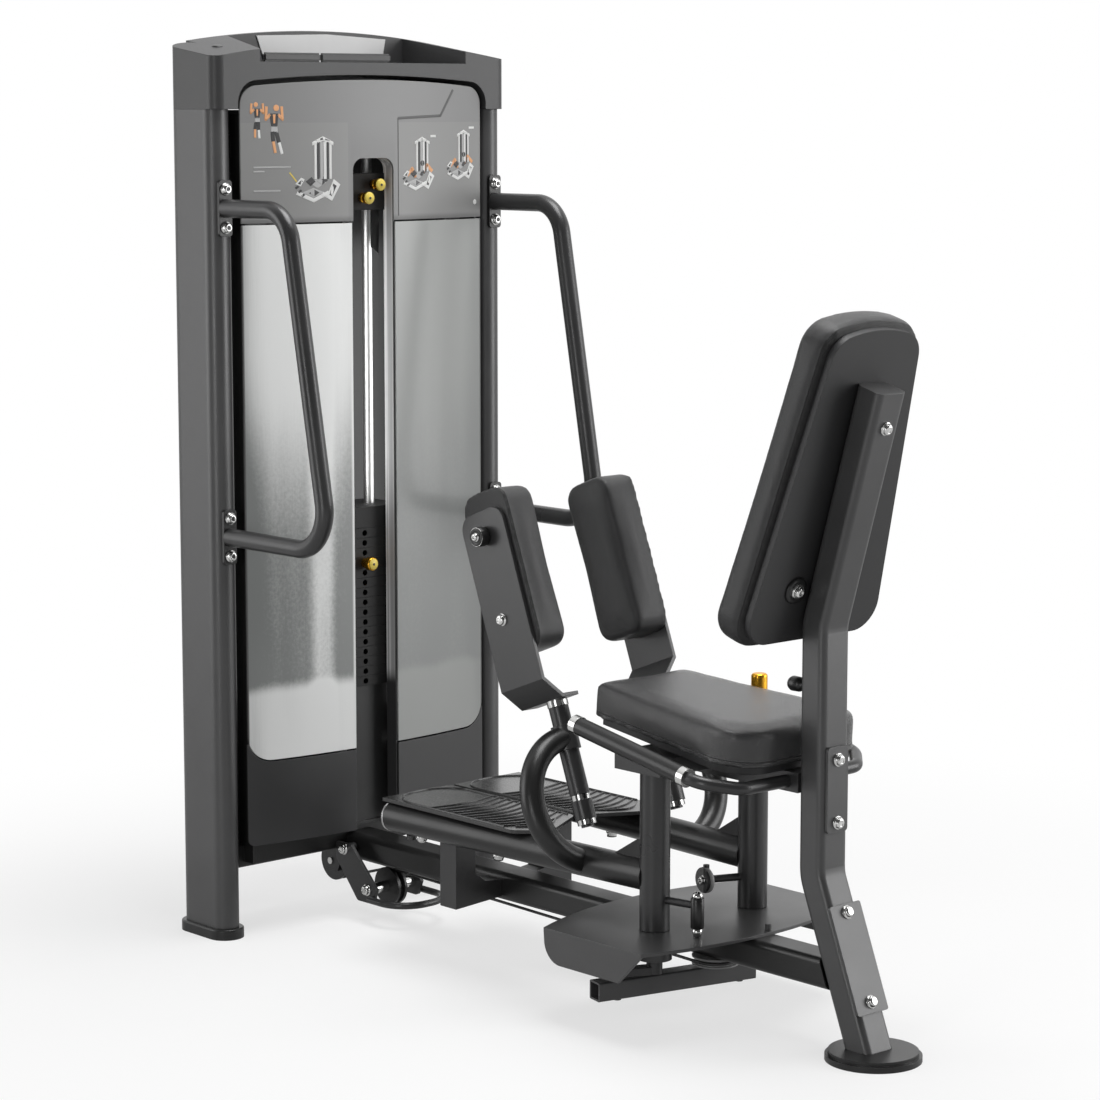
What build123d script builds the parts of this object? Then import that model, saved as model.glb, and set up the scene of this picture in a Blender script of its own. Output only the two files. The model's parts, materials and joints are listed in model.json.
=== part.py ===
"""Hip abductor machine: weight tower, seat, two swinging leg arms and their cable drive.

Millimetres. +X runs from the tower to the seat, Y is side to side with the sitter's
left at -Y, +Z is up. The origin is on the floor, half way along the machine.
"""

import os
from math import asin, atan, atan2, cos, degrees, hypot, radians, sin, tan

from build123d import *

os.makedirs("parts", exist_ok=True)

# ---------------------------------------------------------------- driving dimensions
# X is measured from the tower's reference line, which stands at tower_x.
tower_rear = 107.0
foot_reach = 1283.5
tower_x = (tower_rear - foot_reach) / 2
sides = (("left", -1), ("right", 1))

# tower
upright_y = 293.0
upright_depth = 120.0
upright_width = 46.0
upright_wall = 3.0
upright_front = 23.0
upright_x = tower_x + upright_front - upright_depth / 2
inner_y = upright_y - upright_width / 2
tower_foot_height = 18.0
tower_foot_margin = 8.0
cap_seam = 1392.0
cap_rear = -tower_rear
cap_front = 33.0
cap_half = upright_y + upright_width / 2

# front panels: a gently bowed skin
panel_edge_x = 26.0
panel_crown = 26.0
panel_thick = 3.0
panel_half = 262.0
slot_half = 44.0
slot_top = cap_seam - 82.0
slot_round = 20.0
skirt_low = 155.0
skirt_high = 331.0
window_low = 300.0
window_high = cap_seam - 190.0
window_round = 45.0
panel_seam = 3.0

# beams
low_beam_bottom = 113.0
low_beam_top = 154.0
low_beam_depth = 60.0
top_beam_bottom = cap_seam - 82.0
top_beam_top = top_beam_bottom + 40.0
main_beam_bottom = 95.0
main_beam_top = 142.0
main_beam_half = 30.0
beam_wall = 3.0

# weight stack
stack_x = tower_x - 30.0
plate_depth = 100.0
plate_width = 180.0
plate_pitch = 17.3
plate_gap = 0.4
plate_count = 16
lifted_plates = 4
head_height = 36.0
base_plate_height = 6.0
riser_top = 399.0
rod_diameter = 18.0
rod_spread = 50.0
rod_clearance = 0.6
selector_rod_diameter = 18.0
selector_hole = 10.2
pin_diameter = 9.6

# cable and pulleys
cable_diameter = 4.8
pulley_width = 20.0
slim_pulley_width = 14.0
pulley_lip = 3.0
pin_radius = 6.0
running_fit = 0.06
ear_thick = 4.0
ear_gap = 2.0
top_pulley_z = cap_seam + 8.0
drop_radius = 32.5
rear_pulley_z = 76.0
drop_x = stack_x - drop_radius
idler_x = tower_x + 85.0
idler_z = 56.0
idler_radius = 30.0
centre_pulley_x = tower_x + 880.0
centre_radius = 33.5
drive_z = idler_z + idler_radius

# leg arms
post_x = tower_x + 855.0
post_y = 107.0
post_radius = 23.5
post_foot = 147.6
post_head = 397.6
spindle_radius = 12.5
top_pin_radius = 10.0
crank_radius = 60.0
crank_phase = 25.0
arm_radius = 25.0
arm_z = 230.0
arm_splay = 3.0
arm_length = 595.0
sleeve_x = tower_x + 642.0
sleeve_y = 97.5
sleeve_z = 415.0
pad_lean = 20.8
shaft_radius = 10.0
sleeve_radius = 16.0
sleeve_low = -94.0
sleeve_high = 48.0
loop_radius = 99.0
loop_tube = 38.0
foot_plate_z = 255.0
foot_plate_thick = 6.0
nose_outer = 70.0
nose_inner = 58.0

# knee pads
pad_face_y = 140.0
bracket_thick = 6.0
bracket_width = 103.0
bracket_back = 18.0
knee_pad_thick = 65.0
knee_pad_width = 110.0
knee_pad_length = 270.0

# seat and back
seat_tilt = 4.3
seat_thick = 58.0
board_thick = 12.0
seat_top_x = tower_x + 707.7
seat_top_z = 514.0
channel_low = 398.0
channel_high = 425.0
channel_x0 = tower_x + 810.0
channel_x1 = tower_x + 910.0
channel_half = 150.0
seat_beam_low = 385.0
seat_beam_high = 415.0
post_leg_depth = 48.0
post_leg_width = 60.0
end_cap_thick = 4.0
leg_x = tower_x + 1104.0
leg_low_bend_z = 262.0
leg_high_bend_z = 640.0
rear_foot_x = tower_x + 1211.0
rear_foot_radius = 72.5
rear_foot_height = 15.0
back_thick = 55.0

# base plate
deck_top = 147.0
deck_thick = deck_top - main_beam_top
deck_half = 226.0


# ---------------------------------------------------------------- helpers
def at(x, y, z):
    """A point given from the tower's reference line."""
    return Vector(tower_x + x, y, z)


def on_circle(centre, radius, angle):
    """The point of an upright circle, in the XZ plane, at an angle from +X."""
    x, y, z = centre
    return (x + radius * cos(radians(angle)), y, z + radius * sin(radians(angle)))


def add_disc(plane, start, end, radius, bore=0.0):
    """Adds a round length along the plane's normal, from start to end."""
    with BuildSketch(plane.offset(start)) as section:
        Circle(radius)
        if bore:
            Circle(bore, mode=Mode.SUBTRACT)
    extrude(section.sketch, amount=end - start)


def add_tube(route, radius, bore=0.0):
    """Sweeps a round tube along a route of straight runs and arcs."""
    with BuildSketch(Plane(origin=route @ 0, z_dir=route % 0)) as section:
        Circle(radius)
        if bore:
            Circle(bore, mode=Mode.SUBTRACT)
    sweep(section.sketch, path=route)


def add_block(low, high, mode=Mode.ADD):
    """Adds or cuts a block between two opposite corners."""
    low, high = Vector(*low), Vector(*high)
    size, middle = high - low, (low + high) / 2
    with Locations(middle):
        Box(abs(size.X), abs(size.Y), abs(size.Z), mode=mode)


def add_bolt(plane, head=8.5):
    """Adds a washer and a low button head standing on the plane."""
    add_disc(plane, 0, 2, head + 2)
    add_disc(plane, 2, 6, head)
    add_disc(plane, 6, 8, head - 2.5)


def add_pulley(plane, rope_radius, width):
    """Adds a grooved wheel, centred on the plane, that runs on a pin."""
    half = width / 2
    lip = rope_radius + pulley_lip
    floor = rope_radius - cable_diameter / 2 - 0.3
    bore = pin_radius + running_fit
    add_disc(plane, -half, -cable_diameter, lip, bore)
    add_disc(plane, -cable_diameter, cable_diameter, floor, bore)
    add_disc(plane, cable_diameter, half, lip, bore)


def add_curved_front(low, high):
    """Adds the bowed front skin between two heights."""
    edge, crown = tower_x + panel_edge_x, tower_x + panel_edge_x + panel_crown
    with BuildSketch(Plane.XY.offset(low)) as plan:
        with BuildLine():
            ThreePointArc((edge, -panel_half), (crown, 0), (edge, panel_half))
            Line((edge, panel_half), (edge - panel_thick, panel_half))
            ThreePointArc(
                (edge - panel_thick, panel_half),
                (crown - panel_thick, 0),
                (edge - panel_thick, -panel_half),
            )
            Line((edge - panel_thick, -panel_half), (edge, -panel_half))
        make_face()
    extrude(plan.sketch, amount=high - low)


def trim_to_front(low, high):
    """Cuts away whatever stands in front of the bowed skin's back, between two heights."""
    edge, crown = panel_edge_x - panel_thick, panel_edge_x + panel_crown - panel_thick
    with BuildSketch(Plane.XY.offset(low)) as plan:
        with BuildLine():
            ThreePointArc(at(edge, -panel_half, 0), at(crown, 0, 0), at(edge, panel_half, 0))
            Polyline(
                at(edge, panel_half, 0),
                at(tower_rear, panel_half, 0),
                at(tower_rear, -panel_half, 0),
                at(edge, -panel_half, 0),
            )
        make_face()
    extrude(plan.sketch, amount=high - low, mode=Mode.SUBTRACT)


# ---------------------------------------------------------------- tower frame
for side, sign in sides:
    with BuildPart() as upright:
        with BuildSketch(Plane.XY.offset(tower_foot_height)):
            with Locations((upright_x, sign * upright_y)):
                SlotOverall(upright_depth, upright_width)
                SlotOverall(
                    upright_depth - 2 * upright_wall,
                    upright_width - 2 * upright_wall,
                    mode=Mode.SUBTRACT,
                )
        extrude(amount=cap_seam - tower_foot_height)
    upright.part.label = f"{side}_upright"
    export_step(upright.part, f"parts/{side}_upright.step")

with BuildPart() as upright_feet:
    with BuildSketch():
        with Locations((upright_x, -upright_y), (upright_x, upright_y)):
            SlotOverall(
                upright_depth + 2 * tower_foot_margin,
                upright_width + 2 * tower_foot_margin,
            )
    extrude(amount=tower_foot_height)
    fillet(upright_feet.faces().sort_by(Axis.Z)[-2:].edges(), 3)
upright_feet.part.label = "upright_feet"
export_step(upright_feet.part, "parts/upright_feet.step")

# The cap: a moulded arch over both uprights, lower at the front, with a tray in its top.
cap_rear_high = cap_seam + 106.0
cap_front_high = cap_seam + 85.0
cap_arch = 27.0
tray_lip_z = cap_seam + 78.0
tray_floor_z = tray_lip_z - 13.0
tray_lip = 12.0
cap_wall = 6.0
hollow_high = cap_seam + 44.0
hollow_arch = 13.0
hollow_half = inner_y - 2
with BuildPart() as tower_cap:
    for x, corner_z in ((cap_rear, cap_rear_high), (cap_front, cap_front_high)):
        with BuildSketch(Plane.YZ.offset(tower_x + x)):
            with BuildLine():
                Polyline(
                    (cap_half, corner_z),
                    (cap_half, cap_seam),
                    (-cap_half, cap_seam),
                    (-cap_half, corner_z),
                )
                ThreePointArc(
                    (-cap_half, corner_z), (0, corner_z + cap_arch), (cap_half, corner_z)
                )
            make_face()
    loft(ruled=True)
    fillet(tower_cap.edges().filter_by(Axis.Z), 20)
    with BuildSketch(Plane.XY.offset(cap_seam)):
        for _, sign in sides:
            rounded_x = upright_x - (upright_depth - upright_width) / 2
            with Locations(((tower_x + cap_rear + rounded_x) / 2, sign * (cap_half + inner_y) / 2)):
                Rectangle(rounded_x - tower_x - cap_rear, cap_half - inner_y)
            with Locations((rounded_x, sign * upright_y)):
                Circle(upright_width / 2, mode=Mode.SUBTRACT)
    extrude(amount=cap_rear_high + cap_arch - cap_seam, mode=Mode.SUBTRACT)
    with BuildSketch(Plane.YZ.offset(tower_x + cap_rear + cap_wall)):
        with BuildLine():
            Polyline(
                (-hollow_half, hollow_high),
                (-hollow_half, cap_seam - 1),
                (hollow_half, cap_seam - 1),
                (hollow_half, hollow_high),
            )
            ThreePointArc(
                (hollow_half, hollow_high), (0, hollow_high + hollow_arch), (-hollow_half, hollow_high)
            )
        opening = make_face()
        fillet(opening.vertices().group_by(Axis.Y)[-1], 38)
    extrude(amount=cap_front - cap_rear, mode=Mode.SUBTRACT)
    for low_z, rear_half, front_half, front in (
        (tray_lip_z, 190.0, 222.0, cap_front + 1),
        (tray_floor_z, 178.0, 206.0, cap_front - tray_lip),
    ):
        with BuildSketch(Plane.XY.offset(low_z)):
            with BuildLine():
                Polyline(
                    (tower_x + cap_rear + cap_wall, -rear_half),
                    (tower_x + front, -front_half),
                    (tower_x + front, front_half),
                    (tower_x + cap_rear + cap_wall, rear_half),
                    close=True,
                )
            make_face()
        extrude(amount=cap_rear_high + cap_arch - tray_floor_z, mode=Mode.SUBTRACT)
tower_cap.part.label = "tower_cap"
export_step(tower_cap.part, "parts/tower_cap.step")

# Cross beams between the uprights, with the ears that hold the cable pulleys and the
# upright rails that the front panels are fixed to.
panel_rail_x = -14.0
panel_rail_y = 246.0
panel_rail_thick = 6.0
panel_rail_top = cap_seam - 7.0
ear_inner = pulley_width / 2 + ear_gap
ear_outer = ear_inner + ear_thick
top_beam_x0 = tower_x - 80.0
top_beam_x1 = tower_x - 10.0
with BuildPart() as cross_beams:
    for x0, x1, low, high in (
        (tower_x - low_beam_depth, tower_x, low_beam_bottom, low_beam_top),
        (top_beam_x0, top_beam_x1, top_beam_bottom, top_beam_top),
    ):
        with BuildSketch(Plane.XZ.offset(-inner_y)):
            with Locations(((x0 + x1) / 2, (low + high) / 2)):
                RectangleRounded(x1 - x0, high - low, 5)
                RectangleRounded(
                    x1 - x0 - 2 * beam_wall,
                    high - low - 2 * beam_wall,
                    2,
                    mode=Mode.SUBTRACT,
                )
        extrude(amount=2 * inner_y)
    for ear_y in (-ear_outer, ear_inner):
        with BuildSketch(Plane.XZ.offset(-ear_y - ear_thick)):
            with BuildLine():
                Polyline(
                    (drop_x - 18, top_beam_top),
                    (drop_x + 18, top_beam_top),
                    (drop_x + 14, top_pulley_z + 16),
                    (drop_x - 14, top_pulley_z + 16),
                    close=True,
                )
            make_face()
            with BuildLine():
                Polyline(
                    (tower_x - low_beam_depth, low_beam_bottom),
                    (tower_x - 20, low_beam_bottom),
                    (drop_x + 18, rear_pulley_z - 16),
                    (drop_x - 18, rear_pulley_z - 16),
                    (drop_x - 18, rear_pulley_z + 16),
                    close=True,
                )
            make_face()
            with Locations((drop_x, top_pulley_z), (drop_x, rear_pulley_z)):
                Circle(pin_radius + running_fit, mode=Mode.SUBTRACT)
        extrude(amount=ear_thick)
    with BuildSketch(Plane.XY.offset(top_beam_bottom - 1)):
        with Locations((stack_x, 0)):
            Circle(8)
    extrude(amount=top_beam_top - top_beam_bottom + 2, mode=Mode.SUBTRACT)
    for _, sign in sides:
        add_block(
            at(panel_rail_x, sign * panel_rail_y, low_beam_bottom + 10),
            at(panel_crown + panel_edge_x, sign * (panel_rail_y + panel_rail_thick), panel_rail_top),
        )
    trim_to_front(low_beam_bottom, cap_seam)
cross_beams.part.label = "cross_beams"
export_step(cross_beams.part, "parts/cross_beams.step")

# ---------------------------------------------------------------- tower panels
header_half = panel_half - 2.0
header_high = cap_seam + 36.0
with BuildPart() as header_panel:
    add_curved_front(window_high + panel_seam, cap_seam + 60)
    with BuildSketch(Plane.YZ.offset(tower_x)):
        with BuildLine():
            Polyline(
                (-header_half, header_high),
                (-header_half, window_high + panel_seam),
                (header_half, window_high + panel_seam),
                (header_half, header_high),
            )
            ThreePointArc(
                (header_half, header_high), (0, header_high + hollow_arch), (-header_half, header_high)
            )
        outline = make_face()
        fillet(outline.vertices().group_by(Axis.Y)[-1], 32)
        with Locations((0, slot_top - 150)):
            RectangleRounded(2 * slot_half, 300, slot_round, mode=Mode.SUBTRACT)
    extrude(amount=100, mode=Mode.INTERSECT)
header_panel.part.label = "header_panel"
export_step(header_panel.part, "parts/header_panel.step")

window_inner = slot_half + 3.0
window_outer = panel_half - 2.0
skirt_outer = panel_half - 0.5
with BuildPart() as side_windows:
    add_curved_front(window_low, window_high)
    with BuildSketch(Plane.YZ.offset(tower_x)) as window_outline:
        for _, sign in sides:
            with BuildLine():
                Polyline(
                    (sign * window_inner, window_low),
                    (sign * window_inner, window_high),
                    (sign * window_outer, window_high),
                    (sign * window_outer, window_low),
                    close=True,
                )
            make_face()
        low_corners = window_outline.vertices().group_by(Axis.Y)[0].sort_by(Axis.X)
        fillet([low_corners[0], low_corners[-1]], window_round)
    extrude(amount=100, mode=Mode.INTERSECT)
side_windows.part.label = "side_windows"
export_step(side_windows.part, "parts/side_windows.step")

with BuildPart() as lower_skirts:
    add_curved_front(skirt_low, skirt_high)
    with BuildSketch(Plane.YZ.offset(tower_x)) as skirt_outline:
        for _, sign in sides:
            with BuildLine():
                Polyline(
                    (sign * window_inner, skirt_low),
                    (sign * window_inner, skirt_high),
                    (sign * skirt_outer, skirt_high),
                    (sign * skirt_outer, skirt_low),
                    close=True,
                )
            make_face()
        low_corners = skirt_outline.vertices().group_by(Axis.Y)[0].sort_by(Axis.X)
        fillet([low_corners[0], low_corners[-1]], 12)
        for _, sign in sides:
            middle = sign * (window_outer - window_round / 2 - 100)
            with Locations((middle, window_low - panel_seam + 150)):
                RectangleRounded(
                    2 * abs(window_outer - abs(middle)) + 2,
                    300,
                    window_round + panel_seam,
                    mode=Mode.SUBTRACT,
                )
            with Locations((sign * (window_inner + 40), window_low - panel_seam + 150)):
                Rectangle(140, 300, mode=Mode.SUBTRACT)
    extrude(amount=100, mode=Mode.INTERSECT)
lower_skirts.part.label = "lower_skirts"
export_step(lower_skirts.part, "parts/lower_skirts.step")

shroud_sheet = 2.5
shroud_low = 120.0
with BuildPart() as rear_shroud:
    with BuildSketch(Plane.XY.offset(shroud_low)):
        with BuildLine():
            Polyline(
                (top_beam_x0 - 0.5, -inner_y),
                (tower_x - tower_rear, -inner_y),
                (tower_x - tower_rear, inner_y),
                (top_beam_x0 - 0.5, inner_y),
                (top_beam_x0 - 0.5, inner_y - shroud_sheet),
                (tower_x - tower_rear + shroud_sheet, inner_y - shroud_sheet),
                (tower_x - tower_rear + shroud_sheet, -inner_y + shroud_sheet),
                (top_beam_x0 - 0.5, -inner_y + shroud_sheet),
                close=True,
            )
        make_face()
    extrude(amount=cap_seam - shroud_low - 1)
rear_shroud.part.label = "rear_shroud"
export_step(rear_shroud.part, "parts/rear_shroud.step")

# A liner round the selector slot: two side walls joined by a rounded top.
liner_back = 23.5
liner_wall = 2.5
liner_low = low_beam_top + 20
liner_run = slot_top - low_beam_top + 44
with BuildPart() as slot_channel:
    with BuildSketch(Plane.YZ.offset(tower_x + liner_back)):
        with Locations((0, slot_top + liner_wall - liner_run / 2)):
            RectangleRounded(
                2 * (slot_half + liner_wall), liner_run, slot_round + liner_wall
            )
        with Locations((0, slot_top - liner_run / 2)):
            RectangleRounded(2 * slot_half, liner_run, slot_round, mode=Mode.SUBTRACT)
        with Locations((0, liner_low - liner_run / 2)):
            Rectangle(4 * slot_half, liner_run, mode=Mode.SUBTRACT)
    extrude(amount=panel_edge_x + panel_crown - liner_back)
    trim_to_front(0, slot_top + slot_round)
slot_channel.part.label = "slot_channel"
export_step(slot_channel.part, "parts/slot_channel.step")

# ---------------------------------------------------------------- weight stack
stack_plane = Plane((stack_x, 0, 0))
rod_places = [(0, -rod_spread), (0, rod_spread)]
plate_low_x = stack_x - plate_depth / 2
base_top = low_beam_top + base_plate_height


def add_plate(bottom, height, selector=True):
    """Adds one weight plate with its rod holes and its selector hole."""
    with BuildSketch(Plane((stack_x, 0, bottom))) as plan:
        RectangleRounded(plate_depth, plate_width, 4)
        with Locations(*rod_places):
            Circle(rod_diameter / 2 + rod_clearance, mode=Mode.SUBTRACT)
        if selector:
            Circle(selector_rod_diameter / 2 + rod_clearance, mode=Mode.SUBTRACT)
    extrude(plan.sketch, amount=height)
    if selector:
        with BuildSketch(Plane.YZ.offset(stack_x + plate_depth / 2)) as hole:
            with Locations((0, bottom + height / 2)):
                Circle(selector_hole / 2)
        extrude(hole.sketch, amount=-plate_depth / 2, mode=Mode.SUBTRACT)


def plate_bottom(index):
    """The underside of a plate, counted down from the top one."""
    return riser_top + (plate_count - 1 - index) * plate_pitch


with BuildPart() as guide_rods:
    with BuildSketch(Plane((stack_x, 0, base_top))):
        with Locations(*rod_places):
            Circle(rod_diameter / 2)
    extrude(amount=top_beam_bottom - base_top)
guide_rods.part.label = "guide_rods"
export_step(guide_rods.part, "parts/guide_rods.step")

with BuildPart() as stack_base:
    add_block(
        (tower_x - tower_rear + shroud_sheet, -95, low_beam_top), (tower_x + 18, 95, base_top)
    )
    riser = (plate_depth - 12, plate_width - 20)
    with BuildSketch(Plane((stack_x, 0, base_top))):
        RectangleRounded(*riser, 4)
        RectangleRounded(riser[0] - 6, riser[1] - 6, 1, mode=Mode.SUBTRACT)
    extrude(amount=riser_top - base_top - 5)
    with BuildSketch(Plane((stack_x, 0, riser_top - 5))):
        RectangleRounded(*riser, 4)
        with Locations(*rod_places):
            Circle(rod_diameter / 2 + rod_clearance, mode=Mode.SUBTRACT)
    extrude(amount=5)
    with BuildSketch(Plane((stack_x - 2 * drop_radius, 0, low_beam_top - 1))):
        Circle(8)
    extrude(amount=base_plate_height + 2, mode=Mode.SUBTRACT)
stack_base.part.label = "stack_base"
export_step(stack_base.part, "parts/stack_base.step")

with BuildPart() as resting_plates:
    for index in range(lifted_plates, plate_count):
        add_plate(plate_bottom(index), plate_pitch - plate_gap)
resting_plates.part.label = "resting_plates"
export_step(resting_plates.part, "parts/resting_plates.step")

head_bottom = plate_bottom(-1)
head_top = head_bottom + head_height
connector_top = head_top + 24.0
with BuildPart() as stack_carriage:
    for index in range(lifted_plates):
        add_plate(plate_bottom(index), plate_pitch - plate_gap)
    add_plate(head_bottom, head_height, selector=False)
    add_disc(stack_plane, riser_top + 2, head_bottom, selector_rod_diameter / 2)
    add_disc(stack_plane, head_top, connector_top, 13)
stack_carriage.part.label = "stack_carriage"
export_step(stack_carriage.part, "parts/stack_carriage.step")

pin_z = plate_bottom(lifted_plates - 1) + (plate_pitch - plate_gap) / 2
pin_face = Plane(
    origin=(stack_x + plate_depth / 2, 0, pin_z), x_dir=(0, 1, 0), z_dir=(1, 0, 0)
)
knob_neck = 8.5
with BuildPart() as selector_pin:
    add_disc(pin_face, -plate_depth / 2 + selector_rod_diameter / 2 + 0.4, 8, pin_diameter / 2)
    add_disc(pin_face, 0.6, 12, knob_neck)
    add_disc(pin_face, 12, 24, 11.5)
    fillet(selector_pin.edges().filter_by(GeomType.CIRCLE).group_by(Axis.X)[-1], 3)
selector_pin.part.label = "selector_pin"
export_step(selector_pin.part, "parts/selector_pin.step")

# Two pull knobs for the small extra weights, on a block in the slot's rounded top.
addon_block_front = tower_x + 26.0
addon_places = (("upper", 20.0, slot_top - 45.0), ("lower", -5.0, slot_top - 67.0))
addon_stem = 4.0
with BuildPart() as addon_block:
    add_block(
        (tower_x + 2, -slot_half, slot_top - 88), (addon_block_front, slot_half, slot_top - 26)
    )
    for _, y, z in addon_places:
        with BuildSketch(Plane.YZ.offset(addon_block_front)):
            with Locations((y, z)):
                Circle(addon_stem + running_fit)
        extrude(amount=-24, mode=Mode.SUBTRACT)
addon_block.part.label = "addon_block"
export_step(addon_block.part, "parts/addon_block.step")

for level, y, z in addon_places:
    knob_face = Plane(origin=(addon_block_front, y, z), x_dir=(0, 1, 0), z_dir=(1, 0, 0))
    with BuildPart() as addon_knob:
        add_disc(knob_face, -20, 8, addon_stem)
        add_disc(knob_face, 0.6, 11, knob_neck)
        add_disc(knob_face, 11, 23, 10.5)
        fillet(addon_knob.edges().filter_by(GeomType.CIRCLE).group_by(Axis.X)[-1], 3)
    addon_knob.part.label = f"{level}_addon_knob"
    export_step(addon_knob.part, f"parts/{level}_addon_knob.step")

# ---------------------------------------------------------------- cable and pulleys
wrap_gap = idler_x - drop_x
wrap_drop = idler_z - rear_pulley_z
climb = degrees(
    asin((drop_radius + idler_radius) / hypot(wrap_gap, wrap_drop))
    + atan(wrap_drop / wrap_gap)
)
top_centre = (drop_x, 0, top_pulley_z)
rear_centre = (drop_x, 0, rear_pulley_z)
idler_centre = (idler_x, 0, idler_z)
veer_x = idler_x + 25.0
veer = asin(centre_radius / (centre_pulley_x - veer_x))
veer_radius = 400.0
veer_trim = veer_radius * tan(veer / 2)
wrap_start = -radians(90) - veer

with BuildPart() as stack_cable:
    add_disc(Plane((stack_x, 0, 0)), connector_top + 0.3, top_pulley_z, cable_diameter / 2)
stack_cable.part.label = "stack_cable"
export_step(stack_cable.part, "parts/stack_cable.step")

with BuildPart() as cable:
    with BuildLine() as cable_route:
        ThreePointArc(
            on_circle(top_centre, drop_radius, 0),
            on_circle(top_centre, drop_radius, 90),
            on_circle(top_centre, drop_radius, 180),
        )
        Line(
            on_circle(top_centre, drop_radius, 180), on_circle(rear_centre, drop_radius, 180)
        )
        ThreePointArc(
            on_circle(rear_centre, drop_radius, 180),
            on_circle(rear_centre, drop_radius, 225),
            on_circle(rear_centre, drop_radius, 270 + climb),
        )
        Line(
            on_circle(rear_centre, drop_radius, 270 + climb),
            on_circle(idler_centre, idler_radius, 90 + climb),
        )
        ThreePointArc(
            on_circle(idler_centre, idler_radius, 90 + climb),
            on_circle(idler_centre, idler_radius, 90 + climb / 2),
            on_circle(idler_centre, idler_radius, 90),
        )
        Line((idler_x, 0, drive_z), (veer_x - veer_trim, 0, drive_z))
        veer_end = (
            veer_x + veer_trim * cos(veer),
            -veer_trim * sin(veer),
            drive_z,
        )
        TangentArc((veer_x - veer_trim, 0, drive_z), veer_end, tangent=(1, 0, 0))
        wrap = [
            (
                centre_pulley_x + centre_radius * cos(turn),
                centre_radius * sin(turn),
                drive_z,
            )
            for turn in (wrap_start, 0.0, radians(90))
        ]
        Line(veer_end, wrap[0])
        ThreePointArc(*wrap)
        Line(wrap[2], (post_x + 0.5, centre_radius, drive_z))
    add_tube(cable_route.line, cable_diameter / 2)
cable.part.label = "cable"
export_step(cable.part, "parts/cable.step")
route_length = sum(edge.length for edge in cable_route.line.edges())
print("cable length", round(route_length, 1), "volume", round(cable.part.volume, 1))

upright_pulleys = (
    ("top_pulley", top_centre, drop_radius),
    ("rear_pulley", rear_centre, drop_radius),
    ("idler_pulley", idler_centre, idler_radius),
)
for name, centre, rope_radius in upright_pulleys:
    pulley_plane = Plane(origin=centre, x_dir=(1, 0, 0), z_dir=(0, -1, 0))
    with BuildPart() as pulley:
        add_pulley(pulley_plane, rope_radius, pulley_width)
    pulley.part.label = name
    export_step(pulley.part, f"parts/{name}.step")

with BuildPart() as centre_pulley:
    add_pulley(Plane((centre_pulley_x, 0, drive_z)), centre_radius, slim_pulley_width)
centre_pulley.part.label = "centre_pulley"
export_step(centre_pulley.part, "parts/centre_pulley.step")

# ---------------------------------------------------------------- floor frame
leg_lean_low = atan2(98.5, 250.0)
leg_face = post_leg_depth / 2 / cos(leg_lean_low)
splice_thick = 5.0


def leg_centre(z):
    """X of the rear upright's centre line below its lower bend."""
    return leg_x + (leg_low_bend_z - z) * tan(leg_lean_low)


with BuildPart() as main_beam:
    with BuildSketch(Plane.YZ.offset(tower_x)):
        with Locations((0, (main_beam_bottom + main_beam_top) / 2)):
            RectangleRounded(2 * main_beam_half, main_beam_top - main_beam_bottom, 10)
            RectangleRounded(
                2 * (main_beam_half - beam_wall),
                main_beam_top - main_beam_bottom - 2 * beam_wall,
                7,
                mode=Mode.SUBTRACT,
            )
    extrude(amount=leg_centre(0) - tower_x)
    with BuildSketch(Plane.XZ.offset(-100)):
        with BuildLine():
            Polyline(
                (leg_centre(0) - leg_face, 0),
                (leg_centre(200) - leg_face, 200),
                (leg_centre(0) + 50, 200),
                (leg_centre(0) + 50, 0),
                close=True,
            )
        make_face()
    extrude(amount=200, mode=Mode.SUBTRACT)
main_beam.part.label = "main_beam"
export_step(main_beam.part, "parts/main_beam.step")

# Slanted plates under the tower hold the idler pulley behind a bent guard bar.
bracket_y = 47.0
bracket_plate = 6.0
guard_z = idler_z - 14
guard_radius = 6.0
stand_off_x = 22.0
stand_off_z = 118.0
with BuildPart() as pulley_brackets:
    for plate_y in (-bracket_y - bracket_plate, bracket_y):
        with BuildSketch(Plane.XZ.offset(-plate_y - bracket_plate)):
            with BuildLine():
                Polyline(
                    (tower_x, 128),
                    (tower_x, 98),
                    (tower_x + 58, 33),
                    (tower_x + 100, 33),
                    (tower_x + 110, 60),
                    (tower_x + 40, 128),
                    close=True,
                )
            bracket = make_face()
            fillet(bracket.vertices().group_by(Axis.Y)[0], 8)
            with Locations((idler_x, idler_z)):
                Circle(pin_radius + running_fit, mode=Mode.SUBTRACT)
        extrude(amount=bracket_plate)
    for low_y, high_y in ((-bracket_y, -main_beam_half), (main_beam_half, bracket_y)):
        stand_off = at(stand_off_x, low_y, stand_off_z)
        add_disc(Plane(origin=stand_off, x_dir=(1, 0, 0), z_dir=(0, 1, 0)), 0, high_y - low_y, 8)
    with BuildLine() as guard_route:
        guard_y = bracket_y + bracket_plate + guard_radius
        FilletPolyline(
            (tower_x + 97, -guard_y, guard_z),
            (tower_x + 184, -guard_y, guard_z),
            (tower_x + 184, guard_y, guard_z),
            (tower_x + 97, guard_y, guard_z),
            radius=52,
        )
    add_tube(guard_route.line, guard_radius)
pulley_brackets.part.label = "pulley_brackets"
export_step(pulley_brackets.part, "parts/pulley_brackets.step")

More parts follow.
